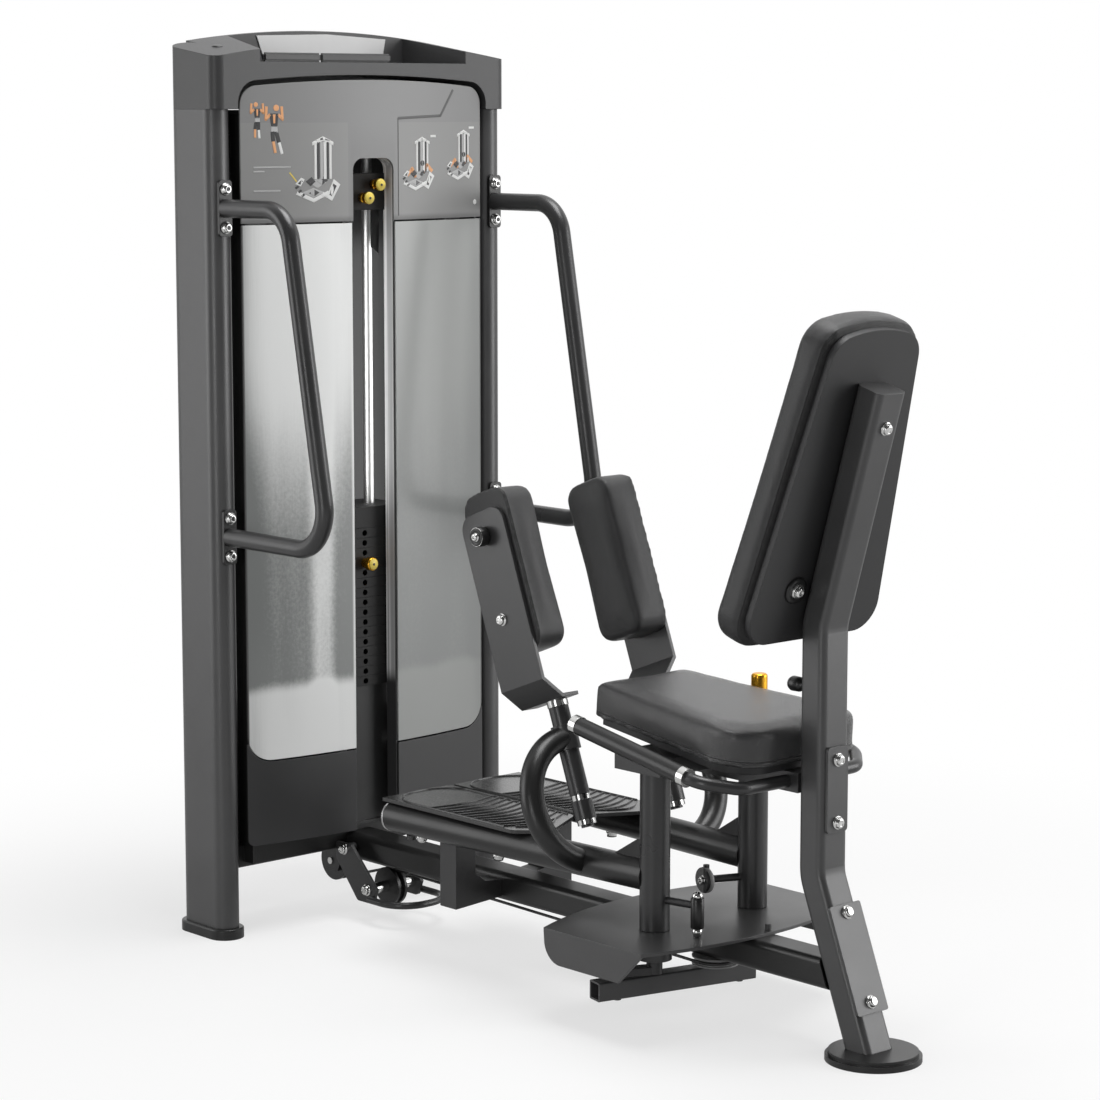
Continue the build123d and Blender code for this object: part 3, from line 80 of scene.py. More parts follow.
def at_tower(x, y, z):
    """A point whose X is measured from the tower's line."""
    return Vector((tower_x + x, y, z))


def on_bracket(sign, up, fore):
    """A point on a pad bracket's outer face, measured up and forward from its foot."""
    x, y, z = bracket_foot
    return at_tower(x, sign * y, z) + pad_up * up + pad_fore * fore


def level_way(degrees):
    """A level direction, turned from X."""
    return Vector((cos(radians(degrees)), sin(radians(degrees)), 0))


# ------------------------------------------------------------ camera and studio
def place_camera():
    """A long lens in front of the seat, looking a little down."""
    lens = bpy.data.cameras.new("view")
    lens.sensor_width = 36.0
    lens.lens = 103.76
    lens.clip_start, lens.clip_end = 0.1, 100.0
    camera = bpy.data.objects.new("view", lens)
    scene.collection.objects.link(camera)
    look_down, look_round = 7.983, 47.898
    camera.location = (3.6725, -3.4008, 1.3984)
    camera.rotation_euler = (radians(90 - look_down), 0, radians(look_round))
    scene.camera = camera


def add_softbox(name, place, aim, width, height, watts):
    """A soft rectangular lamp, aimed at a point."""
    lamp = bpy.data.lights.new(name, "AREA")
    lamp.shape = "RECTANGLE"
    lamp.size, lamp.size_y = width, height
    lamp.energy = watts
    softbox = bpy.data.objects.new(name, lamp)
    scene.collection.objects.link(softbox)
    softbox.location = place
    softbox.rotation_euler = (Vector(aim) - Vector(place)).to_track_quat("-Z", "Y").to_euler()


# ------------------------------------------------------------ shader helpers
class Wire:
    """A socket in an expression, which adds its Math nodes."""

    def __init__(self, finish, socket):
        self.finish, self.socket = finish, socket

    def reckon(self, operation, *values):
        inputs = dict(enumerate(values))
        return self.finish.node("Math", {"operation": operation}, inputs)

    def __add__(self, other):
        return self.reckon("ADD", self, other)

    def __sub__(self, other):
        return self.reckon("SUBTRACT", self, other)

    def __rsub__(self, other):
        return self.reckon("SUBTRACT", other, self)

    def __mul__(self, other):
        return self.reckon("MULTIPLY", self, other)

    def __abs__(self):
        return self.reckon("ABSOLUTE", self)

    __radd__, __rmul__ = __add__, __mul__


class Finish:
    """One material, with a method that adds any node."""

    def __init__(self, name, **constants):
        self.material = bpy.data.materials.new(name)
        self.material.use_nodes = True
        self.tree = self.material.node_tree
        self.shader = self.tree.nodes["Principled BSDF"]
        for label, value in constants.items():
            self.shader.inputs[label.replace("_", " ")].default_value = value

    def node(self, kind, settings=None, inputs=None, out=0):
        made = self.tree.nodes.new("ShaderNode" + kind)
        for name, value in (settings or {}).items():
            setattr(made, name, value)
        for key, value in (inputs or {}).items():
            if isinstance(value, Wire):
                self.tree.links.new(value.socket, made.inputs[key])
            else:
                made.inputs[key].default_value = value
        return Wire(self, made.outputs[out])

    def feed(self, label, wire):
        self.tree.links.new(wire.socket, self.shader.inputs[label])

    def place(self, scale=(1, 1, 1)):
        """Object coordinates, stretched."""
        return self.node("Mapping", {}, {"Vector": self.node("TexCoord", out=3), "Scale": scale})

    def noise(self, scale, detail, roughness=0.5, vector=None):
        values = {"Scale": scale, "Detail": detail, "Roughness": roughness}
        values["Vector"] = vector or self.place()
        return self.node("TexNoise", {}, values)

    def band(self, value, low, high):
        """0 below low, 1 above high and smooth between."""
        settings = {"interpolation_type": "SMOOTHSTEP"}
        return self.node("MapRange", settings, {"Value": value, "From Min": low, "From Max": high})

    def along(self, direction, origin=(0, 0, 0)):
        """Distance in metres along a direction from an origin."""
        direction = Vector(direction).normalized()
        settings = {"operation": "DOT_PRODUCT"}
        dot = self.node("VectorMath", settings, {0: self.place(), 1: tuple(direction)}, out=1)
        return dot - float(direction.dot(Vector(origin)))

    def mix(self, factor, first, second):
        """A colour between two colours or wires."""
        first = first if isinstance(first, Wire) else (*first, 1)
        second = second if isinstance(second, Wire) else (*second, 1)
        return self.node("Mix", {"data_type": "RGBA"}, {0: factor, 6: first, 7: second}, out=2)

    def relief(self, height, depth, normal=None):
        """Bump of a given depth in metres, fed to the shader."""
        inputs = {"Height": height, "Distance": depth, "Strength": 1.0}
        if normal:
            inputs["Normal"] = normal
        self.feed("Normal", self.node("Bump", {}, inputs))

    def soft_edges(self, radius):
        """A normal that rounds the edges by a radius in metres."""
        return self.node("Bevel", {"samples": 3}, {"Radius": radius})

    def edge_mask(self, rounded):
        """1 where the surface turns over an edge."""
        flat = self.node("NewGeometry", out=1)
        settings = {"operation": "DOT_PRODUCT"}
        alike = self.node("VectorMath", settings, {0: rounded, 1: flat}, out=1)
        return self.band(1.0 - alike, 0.02, 0.2)


def powder_coat(name, colour, edge_colour, rough, radius=0.0016):
    """Fine-textured powder coat, paler in patches along its edges: wear, and a painted edge
    highlight.
    """
    finish = Finish(name, Metallic=0.25, Specular_IOR_Level=0.55, IOR=1.5)
    rounded = finish.soft_edges(radius)
    cloud = finish.noise(9.0, 3.0)
    speck = finish.noise(1600.0, 1.0, 0.6)
    tone = finish.mix(finish.band(cloud, 0.3, 0.75), colour, [c * 1.14 for c in colour])
    tone = finish.mix(finish.band(speck, 0.62, 0.74) * 0.3, tone, edge_colour)
    # Paler edges in patches: partly wear, partly a painted highlight along the edges.
    edge_highlight_and_wear = finish.edge_mask(rounded) * finish.band(finish.noise(60.0, 4.0), 0.35, 0.7)
    finish.feed("Base Color", finish.mix(edge_highlight_and_wear * 0.55, tone, edge_colour))
    finish.feed("Roughness", finish.band(cloud, 0.0, 1.0) * 0.14 + (rough - 0.07))
    finish.relief(finish.noise(700.0, 2.0, 0.6), 0.00009, rounded)
    return finish.material


def moulded(name, colour, rough, grain=1200.0, depth=0.00007, radius=0.0018, coat=0.0):
    """Moulded plastic or rubber with a fine grain and a little dust."""
    finish = Finish(name, Specular_IOR_Level=0.5, Coat_Weight=coat, Coat_Roughness=0.25)
    rounded = finish.soft_edges(radius)
    cloud = finish.noise(6.0, 3.0)
    dust = finish.noise(240.0, 4.0, 0.7)
    tone = finish.mix(finish.band(cloud, 0.3, 0.7), colour, [c * 1.12 for c in colour])
    scuffed = finish.band(dust, 0.6, 0.8) * 0.12
    dusty = [min(1, c * 1.8 + 0.02) for c in colour]
    finish.feed("Base Color", finish.mix(scuffed, tone, dusty))
    finish.feed("Roughness", dust * 0.12 + (rough - 0.06))
    finish.relief(finish.noise(grain, 2.0, 0.6), depth, rounded)
    return finish.material


def polished(name, colour, rough=0.12, brush=(60, 60, 60)):
    """Bright metal with fine turning marks and faint smudges."""
    finish = Finish(name, Metallic=1.0)
    streaks = finish.noise(30.0, 3.0, 0.6, finish.place(brush))
    smudge = finish.noise(35.0, 3.0)
    tone = finish.mix(finish.band(smudge, 0.35, 0.8), colour, [c * 0.86 for c in colour])
    finish.feed("Base Color", tone)
    finish.feed("Roughness", streaks * 0.1 + smudge * 0.08 + (rough - 0.06))
    finish.relief(streaks, 0.00002, finish.soft_edges(0.0008))
    return finish.material


def smoked_window():
    """Silvery sheet with upright grain and painted light: a painted highlight, bright on the left,
    and painted shade, dull on the right and where the plates stand behind.
    """
    finish = Finish("smoked window", Specular_IOR_Level=0.6, Coat_Weight=0.35, Coat_Roughness=0.18)
    height = finish.along((0, 0, 1))
    across = finish.along((0, 1, 0))
    grain = finish.noise(1.0, 3.0, 0.6, finish.place((900, 900, 14)))
    wave = finish.noise(1.0, 2.0, 0.5, finish.place((10, 10, 1.6)))
    mottle = finish.noise(170.0, 4.0, 0.65)
    left = 1.0 - finish.band(across, -0.01, 0.01)
    # Painted light in the sheet's tone: the bright tone is a painted highlight, brightest on the
    # left window; the shaded tone is painted shade.
    bright = finish.mix(left, (0.36, 0.37, 0.36), (0.92, 0.93, 0.92))
    shaded_tone = finish.mix(left, (0.27, 0.28, 0.275), (0.24, 0.25, 0.245))
    # Masks of painted light: lighter low down, painted shade where the plates stand behind the
    # sheet, a painted highlight band on the left, painted shade towards the outer edges and soft
    # waves of painted glare.
    low = 1.0 - finish.band(height, 0.405, 0.43)
    stack_shade = finish.band(height, 0.41, 0.44) * (1.0 - finish.band(height, 0.62, 1.0))
    shine = finish.band(across, -0.15, -0.12) * (1.0 - finish.band(across, -0.105, -0.08)) * 0.6
    edge = finish.band(abs(across), 0.2, 0.262)
    shade = stack_shade * 0.75 + edge * 0.4 + finish.band(wave, 0.35, 0.7) * 0.3
    shade = shade + (mottle - 0.5) * stack_shade * 0.5 + (grain - 0.5) * 0.16 - shine - low * 0.1
    tone = finish.mix(finish.band(shade, 0.0, 1.0), bright, shaded_tone)
    # A pale painted highlight along the left window's edge by the slot.
    inner_edge_highlight = (1.0 - finish.band(abs(across), 0.0485, 0.0535)) * left
    rim = finish.band(abs(across), 0.2565, 0.2585)
    tone = finish.mix(inner_edge_highlight, tone, (0.9, 0.91, 0.9))
    finish.feed("Base Color", finish.mix(rim, tone, (0.1, 0.1, 0.1)))
    finish.feed("Roughness", grain * 0.14 + 0.3)
    finish.relief(grain, 0.00004, finish.soft_edges(0.0012))
    return finish.material


def header_print():
    """Printed header: mid grey, two lighter fields low down and a dark foot."""
    finish = Finish("header print", Specular_IOR_Level=0.45, Coat_Weight=0.2, Coat_Roughness=0.3)
    height = finish.along((0, 0, 1))
    across = finish.along((0, 1, 0))
    cloud = finish.noise(5.0, 2.0)
    fields = 1.0 - finish.band(height, 1.3695, 1.3705)
    fields = fields * finish.band(abs(across), 0.0535, 0.0545)
    middle = 1.0 - finish.band(abs(across), 0.045, 0.055)
    middle = middle * (1.0 - finish.band(height, 1.31, 1.38))
    tone = finish.mix(fields * 0.8, (0.262, 0.262, 0.262), (0.295, 0.295, 0.29))
    tone = finish.mix(middle * 0.5, tone, (0.205, 0.205, 0.205))
    foot = 1.0 - finish.band(height, 1.206, 1.217)
    tone = finish.mix(foot * 0.75, tone, (0.1, 0.1, 0.1))
    tone = finish.mix(finish.band(cloud, 0.35, 0.7) * 0.2, tone, (0.23, 0.23, 0.232))
    finish.feed("Base Color", tone)
    finish.feed("Roughness", finish.noise(400.0, 2.0) * 0.12 + 0.38)
    finish.relief(finish.noise(1500.0, 1.0), 0.00003, finish.soft_edges(0.0012))
    return finish.material


def slot_lining():
    """Pale moulded liner: painted upright shadow lines, and near-black painted shade where the
    plates run low down and along its front.
    """
    finish = Finish("slot liner", Specular_IOR_Level=0.5)
    height = finish.along((0, 0, 1))
    depth = finish.along((1, 0, 0))
    lines = finish.noise(1.0, 2.0, 0.6, finish.place((160, 160, 0.6)))
    tone = finish.mix(finish.band(lines, 0.4, 0.62), (0.85, 0.85, 0.85), (0.42, 0.42, 0.42))
    # Painted shade: near-black low down, where the plates run, and along the liner's front.
    low = 1.0 - finish.band(height, 0.40, 0.43)
    front = finish.band(depth, tower_x + 0.046, tower_x + 0.048)
    tone = finish.mix(low.reckon("MAXIMUM", low, front), tone, (0.045, 0.045, 0.046))
    finish.feed("Base Color", tone)
    finish.feed("Roughness", lines * 0.1 + 0.26)
    finish.relief(lines, 0.00004, finish.soft_edges(0.001))
    return finish.material


def vinyl(name, normal, origin, seams, rough=0.34, gloss=0.5):
    """Grained upholstery vinyl with sewn seams at given depths below the face, their grooves
    darkened with painted shade.
    """
    colour = (0.019, 0.019, 0.02)
    finish = Finish(name, Specular_IOR_Level=gloss, Sheen_Weight=0.05, Sheen_Roughness=0.5)
    depth = finish.along([-c for c in normal], origin)
    wanted = {"Vector": finish.place(), "Scale": 900.0}
    cells = finish.node("TexVoronoi", {"feature": "DISTANCE_TO_EDGE"}, wanted)
    folds = finish.noise(34.0, 4.0, 0.6)
    fine = finish.noise(420.0, 3.0, 0.6)
    groove = None
    for seam, width in seams:
        line = 1.0 - finish.band(abs(depth - seam), width * 0.4, width)
        groove = line if groove is None else groove + line
    tone = finish.mix(finish.band(folds, 0.35, 0.7), colour, [c * 1.35 for c in colour])
    tone = finish.mix(finish.band(cells, 0.0, 0.12) * 0.35, [c * 0.7 for c in colour], tone)
    # The seam grooves are darkened almost to black: painted shade in the creases.
    finish.feed("Base Color", finish.mix(groove * 0.85, tone, (0.006, 0.006, 0.006)))
    finish.feed("Roughness", fine * 0.1 + folds * 0.06 + (rough - 0.08) + groove * 0.2)
    height = finish.band(cells, 0.0, 0.2) * 0.12 + folds * 0.16 + fine * 0.08 - groove * 1.6
    finish.relief(height, 0.0009)
    return finish.material


def rope_lay():
    """Black coating that shows the twist of the wire rope under it."""
    finish = Finish("coated rope", Specular_IOR_Level=0.5)
    wanted = {"Vector": finish.place(), "Scale": 180.0, "Distortion": 0.4}
    strands = finish.node("TexWave", {"bands_direction": "DIAGONAL"}, wanted)
    finish.feed("Base Color", finish.mix(strands, (0.012, 0.012, 0.012), (0.03, 0.03, 0.03)))
    finish.feed("Roughness", strands * 0.15 + 0.35)
    finish.relief(strands, 0.0002)
    return finish.material


paint = powder_coat("graphite powder coat", (0.046, 0.046, 0.047), (0.17, 0.17, 0.17), 0.31)
# A lighter copy of the graphite coat for the tower, uprights and base plate: painted light where
# these faces catch more light.
lit_tower_paint = powder_coat("tower powder coat", (0.082, 0.082, 0.083), (0.22, 0.22, 0.22), 0.36)
# A darker copy of the graphite coat: painted shade on parts in shadow, such as the main beam, arm
# tubes and rear shroud; the handle mounts and stack base are black.
shaded_and_black_paint = powder_coat("dark powder coat", (0.02, 0.02, 0.02), (0.1, 0.1, 0.1), 0.34)
iron = powder_coat("stove black plates", (0.009, 0.009, 0.009), (0.06, 0.06, 0.06), 0.55, 0.001)
cap_skin = moulded("cap moulding", (0.045, 0.045, 0.046), 0.42)
skirt_skin = moulded("skirt moulding", (0.044, 0.044, 0.045), 0.3)
black_moulding = moulded("black moulding", (0.012, 0.012, 0.012), 0.33)
deep_black = moulded("deep black", (0.004, 0.004, 0.004), 0.7)
board_skin = moulded("pad board", (0.022, 0.022, 0.023), 0.5, 900.0, 0.00012)
grip_skin = moulded("grip rubber", (0.013, 0.013, 0.013), 0.33, 500.0, 0.00008)
tread_skin = moulded("tread rubber", (0.03, 0.03, 0.03), 0.26, 700.0, 0.0001, 0.0018, 0.3)
disc_grey = moulded("disc grey", (0.3, 0.3, 0.3), 0.3)
satin_steel = polished("satin steel", (0.5, 0.5, 0.5), 0.3)
chrome = polished("polished steel", (0.7, 0.7, 0.69))
rod_steel = polished("ground rod", (0.92, 0.92, 0.91), 0.34, (4, 4, 400))
gold = polished("golden anodised", (0.9, 0.46, 0.04), 0.24)
gold_face = moulded("golden knob face", (0.85, 0.66, 0.12), 0.3)
window_skin = smoked_window()
header_skin = header_print()
print_white = moulded("print white", (0.85, 0.85, 0.84), 0.5)
print_grey = moulded("print grey", (0.5, 0.5, 0.5), 0.5)
print_orange = moulded("print orange", (0.85, 0.42, 0.2), 0.5)
print_dark = moulded("print dark", (0.05, 0.05, 0.052), 0.5)
print_line = moulded("print line", (0.11, 0.11, 0.11), 0.5)
# A pale panel colour: the painted reflection on the tray's back wall.
tray_reflection_skin = moulded("tray panel", (0.6, 0.6, 0.6), 0.35)
slot_skin = slot_lining()
rope = rope_lay()
seat_vinyl = vinyl("seat vinyl", seat_up, seat_top, ((0.049, 0.0012),), rough=0.25, gloss=0.8)
back_face = back_origin + back_out * 0.067
back_vinyl = vinyl("back vinyl", back_out, back_face, ((0.0525, 0.0034),))

slot_finish = {
    "graphite_paint": paint,
    "cap_plastic": cap_skin,
    "header_plastic": header_skin,
    "window_plastic": window_skin,
    "skirt_plastic": skirt_skin,
    "bright_steel": chrome,
    "plate_iron": iron,
    "yellow_brass": gold,
    "wheel_plastic": black_moulding,
    "wire_rope": rope,
    "tread_rubber": tread_skin,
    "grip_rubber": grip_skin,
    "pad_vinyl": seat_vinyl,
    "pad_board": board_skin,
}
# Parts on the darker copy of the paint carry painted shade, and parts on the tower copy carry
# painted light.
node_finish = {
    "guide_rods": rod_steel,
    "handle_mounts": shaded_and_black_paint,
    "left_upright": lit_tower_paint,
    "right_upright": lit_tower_paint,
    "upright_feet": black_moulding,
    "rear_foot": shaded_and_black_paint,
    "rear_upright": lit_tower_paint,
    "rear_joint_plates": lit_tower_paint,
    "base_plate": lit_tower_paint,
    "main_beam": shaded_and_black_paint,
    "left_arm_tube": shaded_and_black_paint,
    "right_arm_tube": shaded_and_black_paint,
    "left_arm_loop": shaded_and_black_paint,
    "right_arm_loop": shaded_and_black_paint,
    "cross_beams": shaded_and_black_paint,
    "cross_link": lit_tower_paint,
    "centre_pulley": disc_grey,
    "slot_channel": slot_skin,
    "addon_block": deep_black,
    "stack_base": shaded_and_black_paint,
    "rear_shroud": shaded_and_black_paint,
}
for part in frame["record"]["subparts"]:
    wanted = node_finish.get(part["node"], slot_finish[part["material_slot"]])
    for place in nodes[part["node"]].material_slots:
        place.material = wanted


# ------------------------------------------------------------ piece helpers
def new_piece(name, mesh, finish, body):
    """An object of the scene that moves with one body of the machine."""
    piece = bpy.data.objects.new(name, mesh)
    scene.collection.objects.link(piece)
    if finish:
        mesh.materials.clear()
        mesh.materials.append(finish)
    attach(piece, body)
    return piece


def mesh_from(name, work, smooth=True):
    """Turns a bmesh into a mesh and frees it."""
    mesh = bpy.data.meshes.new(name)
    for face in work.faces:
        face.smooth = smooth
    work.to_mesh(mesh)
    work.free()
    return mesh


def basis(normal):
    """Three axes with the given normal last."""
    normal = Vector(normal).normalized()
    along = z_axis if abs(normal.z) < 0.9 else x_axis
    first = along.cross(normal).normalized()
    return first, normal.cross(first), normal


def turned(profile, origin, normal, steps=32):
    """A closed turned shape from (radius, height) pairs, first and last on the axis."""
    u, v, w = basis(normal)
    work = bmesh.new()
    rings = []
    for radius, height in profile:
        if radius == 0:
            rings.append([work.verts.new(origin + w * height)])
            continue
        rings.append([
            work.verts.new(origin + w * height + (u * cos(a) + v * sin(a)) * radius)
            for a in (2 * pi * k / steps for k in range(steps))
        ])
    for low, high in zip(rings, rings[1:]):
        for k in range(steps):
            corners = [low[k % len(low)], low[(k + 1) % len(low)]]
            corners += [high[(k + 1) % len(high)], high[k % len(high)]]
            distinct = list(dict.fromkeys(corners))
            if len(distinct) > 2:
                work.faces.new(distinct)
    bmesh.ops.recalc_face_normals(work, faces=work.faces)
    return work


def merged(works):
    """Joins several bmeshes into one."""
    whole = bmesh.new()
    for work in works:
        mesh = bpy.data.meshes.new("part")
        work.to_mesh(mesh)
        work.free()
        whole.from_mesh(mesh)
        bpy.data.meshes.remove(mesh)
    return whole


def node_recipe(name, inputs, build):
    """A geometry recipe with named inputs; build gets a node adder and the inputs."""
    group = bpy.data.node_groups.new(name, "GeometryNodeTree")
    shape = "NodeSocketGeometry"
    group.interface.new_socket("Geometry", in_out="INPUT", socket_type=shape)
    for label, kind, value in inputs:
        kind = "NodeSocket" + kind
        made = group.interface.new_socket(label, in_out="INPUT", socket_type=kind)
        if value is not None:
            made.default_value = value
    group.interface.new_socket("Geometry", in_out="OUTPUT", socket_type=shape)
    given = group.nodes.new("NodeGroupInput")
    result = group.nodes.new("NodeGroupOutput")

    def add(kind, settings=None, values=None, out=0):
        made = group.nodes.new(kind)
        for key, value in (settings or {}).items():
            setattr(made, key, value)
        for key, value in (values or {}).items():
            if isinstance(value, bpy.types.NodeSocket):
                group.links.new(value, made.inputs[key])
            else:
                made.inputs[key].default_value = value
        return made.outputs[out]

    last = build(add, {made.name: made for made in given.outputs})
    group.links.new(last, result.inputs[0])
    return group


def cook(name, carrier, group, values, body):
    """Runs a recipe on a carrier object and keeps the result as a plain mesh piece."""
    modifier = carrier.modifiers.new("recipe", "NODES")
    modifier.node_group = group
    for item in group.interface.items_tree:
        if item.in_out == "INPUT" and item.name in values:
            modifier[item.identifier] = values[item.name]
    bpy.context.view_layer.update()
    evaluated = carrier.evaluated_get(bpy.context.evaluated_depsgraph_get())
    mesh = bpy.data.meshes.new_from_object(evaluated)
    mesh.name = name
    carrier.modifiers.remove(modifier)
    bpy.data.objects.remove(carrier)
    return new_piece(name, mesh, None, body)


def point_carrier(name, places, facings):
    """Loose points, each with the way it faces."""
    mesh = bpy.data.meshes.new(name)
    mesh.from_pydata([tuple(p) for p in places], [], [])
    facing = mesh.attributes.new("facing", "FLOAT_VECTOR", "POINT")
    for k, direction in enumerate(facings):
        facing.data[k].vector = direction
    carrier = bpy.data.objects.new(name, mesh)
    scene.collection.objects.link(carrier)
    return carrier


def line_carrier(name, lines):
    """Open lines through given points, as one curve."""
    curve = bpy.data.curves.new(name, "CURVE")
    curve.dimensions = "3D"
    for line in lines:
        spline = curve.splines.new("POLY")
        spline.points.add(len(line) - 1)
        for point, place in zip(spline.points, line):
            point.co = (*place, 1)
    carrier = bpy.data.objects.new(name, curve)
    scene.collection.objects.link(carrier)
    return carrier


def fastener_rows(add, given):
    """A head on every point, turned to its facing."""
    vectors = {"data_type": "FLOAT_VECTOR"}
    facing = add("GeometryNodeInputNamedAttribute", vectors, {"Name": "facing"})
    turn = add("FunctionNodeAlignRotationToVector", {"axis": "Z"}, {"Vector": facing})
    own_place = {"transform_space": "ORIGINAL"}
    head = add("GeometryNodeObjectInfo", own_place, {"Object": given["Head"]}, out=4)
    size = add("ShaderNodeCombineXYZ", {}, {axis: given["Size"] for axis in range(3)})
    points = add("GeometryNodeMeshToPoints", {}, {"Mesh": given["Geometry"]})
    laying = {"Points": points, "Instance": head, "Rotation": turn, "Scale": size}
    laid = add("GeometryNodeInstanceOnPoints", {}, laying)
    solid = add("GeometryNodeRealizeInstances", {}, {"Geometry": laid})
    return add("GeometryNodeSetMaterial", {}, {"Geometry": solid, "Material": given["Finish"]})


def ribs_on_lines(add, given):
    """A flat oval bar along every line."""
    circle = {"Resolution": 10, "Radius": 1.0}
    wide = add("GeometryNodeCurvePrimitiveCircle", {"mode": "RADIUS"}, circle)
    halves = {0: given["Half height"], 1: given["Half width"], 2: 1.0}
    size = add("ShaderNodeCombineXYZ", {}, halves)
    profile = add("GeometryNodeTransform", {}, {"Geometry": wide, "Scale": size})
    sweep = {"Curve": given["Geometry"], "Profile Curve": profile, "Fill Caps": True}
    swept = add("GeometryNodeCurveToMesh", {}, sweep)
    solid = add("GeometryNodeRealizeInstances", {}, {"Geometry": swept})
    shaded = add("GeometryNodeSetShadeSmooth", {}, {"Geometry": solid})
    return add("GeometryNodeSetMaterial", {}, {"Geometry": shaded, "Material": given["Finish"]})


fastener_recipe = node_recipe(
    "fastener rows",
    (("Head", "Object", None), ("Size", "Float", 1.0), ("Finish", "Material", None)),
    fastener_rows,
)
rib_recipe = node_recipe(
    "ribs on lines",
    (
        ("Half height", "Float", 0.001),
        ("Half width", "Float", 0.002),
        ("Finish", "Material", None),
    ),
    ribs_on_lines,
)


# ------------------------------------------------------------ bolts and knobs
def socket_head():
    """A washer and a button head with a round socket, standing on Z = 0."""
    washer, radius, flat, socket = 0.0103, 0.0083, 0.0045, 0.0036
    profile = [(0, -0.001), (washer, -0.001), (washer, 0.0017), (0.0098, 0.0022), (radius, 0.0022)]
    for k in range(6):
        swing = pi / 2 * k / 5
        profile.append((flat + (radius - flat) * cos(swing), 0.0052 + 0.0032 * sin(swing)))
    profile += [(socket, 0.0083), (socket, 0.0052), (0, 0.0048)]
    return mesh_from("socket head", turned(profile, Vector(), z_axis, 24))


def add_bolts(name, body, places, size=1.0):
    """Bright bolt heads as one piece, from pairs of a place and a facing."""
    template = bpy.data.objects.new("template", socket_head())
    scene.collection.objects.link(template)
    carrier = point_carrier(name, [p for p, _ in places], [d for _, d in places])
    values = {"Head": template, "Size": size, "Finish": chrome}
    cook(name, carrier, fastener_recipe, values, body)
    bpy.data.objects.remove(template)


def leg_point(height):
    """A point in the middle of the rear upright's slanted foot."""
    return Vector((leg_x + (leg_bend_z - height) * low_slope, 0, height))


low_back = Vector((cos(low_lean), 0, sin(low_lean)))
low_up = Vector((-sin(low_lean), 0, cos(low_lean)))
mount_bolts = [
    ((tower_x + 0.029, sign * upright_y, end + shift), x_axis)
    for _, sign in sides
    for end in handle_ends
    for shift in (-0.0315, 0.0315)
]
add_bolts("handle_mount_bolts", "frame", mount_bolts)
joint_plate, pulley_cheek = 0.005, 0.053
frame_places = [((leg_x + leg_half + joint_plate, 0, z), x_axis) for z in (0.345, 0.440)]
low_joint = leg_point(0.137) + low_back * (leg_half + joint_plate)
frame_places += [(low_joint + low_up * shift, low_back) for shift in (-0.066, 0.070)]
top_rise = (back_bolt_z - back_bend_z) / cos(back_lean)
top_bolt = back_origin + back_up * top_rise - back_out * 2 * leg_half
frame_places.append((top_bolt, back_out * -1))
for way in (-1, 1):
    frame_places.append((at_tower(0.022, way * pulley_cheek, 0.118), y_axis * way))
frame_places.append((at_tower(0.085, -pulley_cheek, 0.056), y_axis * -1))
board_foot = back_origin + back_up * 0.05
board_corners = [board_foot + y_axis * (sign * 0.056) for _, sign in sides]
frame_places += [(corner - back_out * 0.0045, back_out * -1) for corner in board_corners]
add_bolts("frame_bolt_heads", "frame", frame_places)
for side, sign in sides:
    spot = on_bracket(sign, 0.202, -0.025)
    add_bolts(f"{side}_pad_bolt", f"{side}_pad", [(spot, y_axis * sign)])


def add_knob(node, body, face, reach, radius, neck):
    """A pull knob facing along X: a golden shank and a ribbed head with a pale face."""
    stem, collar, tip = 0.004, 0.0085, 0.0008
    end, start = reach * 0.5, reach * 0.46
    shank = [(0, -stem), (stem, -stem), (stem, neck), (collar, neck), (collar, end), (0, end)]
    shank = turned(shank, face, x_axis)
    head = [(0, start), (radius - 0.002, start), (radius, start + 0.002), (radius, reach - 0.003)]
    head += [(radius - 0.0012, reach - tip), (radius - 0.003, reach), (0.0022, reach)]
    head += [(0.0018, reach + tip), (0, reach + tip)]
    head = turned(head, face, x_axis, 48)
    for vertex in head.verts:
        spread = Vector((0, vertex.co.y - face.y, vertex.co.z - face.z))
        if spread.length > radius - 0.0005:
            swing = atan2(spread.z, spread.y)
            vertex.co -= spread * (0.03 + 0.03 * cos(swing * 24))
    knob_mesh = mesh_from(node, merged([shank, head]))
    knob = new_piece(node + "_dressed", knob_mesh, gold, body)
    knob.data.materials.append(gold_face)
    knob.data.materials.append(print_dark)
    for polygon in knob.data.polygons:
        ahead = polygon.center.x - face.x
        across = hypot(polygon.center.y - face.y, polygon.center.z - face.z)
        if ahead > reach - 0.0029:
            polygon.material_index = 2 if across < 0.0021 else 1
    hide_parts(node)


addon_size = (0.023, 0.0105, 0.0006)
add_knob("upper_addon_knob", "upper_knob", at_tower(0.026, 0.020, 1.265), *addon_size)
add_knob("lower_addon_knob", "lower_knob", at_tower(0.026, -0.005, 1.243), *addon_size)


# ------------------------------------------------------------ small fittings
def add_turned(name, body, finish, profile, origin, normal, steps=32):
    """A turned piece of one finish."""
    new_piece(name, mesh_from(name, turned(profile, origin, normal, steps)), finish, body)


def add_plate(name, finish, corners, thick, normal):
    """A thin plate on the tower with softened edges, from its outline and thickness."""
    work = bmesh.new()
    face = work.faces.new([work.verts.new(at_tower(*corner)) for corner in corners])
    grown = bmesh.ops.extrude_face_region(work, geom=[face])["geom"]
    lifted = [item for item in grown if isinstance(item, bmesh.types.BMVert)]
    bmesh.ops.translate(work, vec=normal * thick, verts=lifted)
    bmesh.ops.recalc_face_normals(work, faces=work.faces)
    edges = work.edges[:]
    bmesh.ops.bevel(work, geom=edges, offset=thick * 0.2, segments=2, affect="EDGES")
    new_piece(name, mesh_from(name, work, smooth=False), finish, "frame")


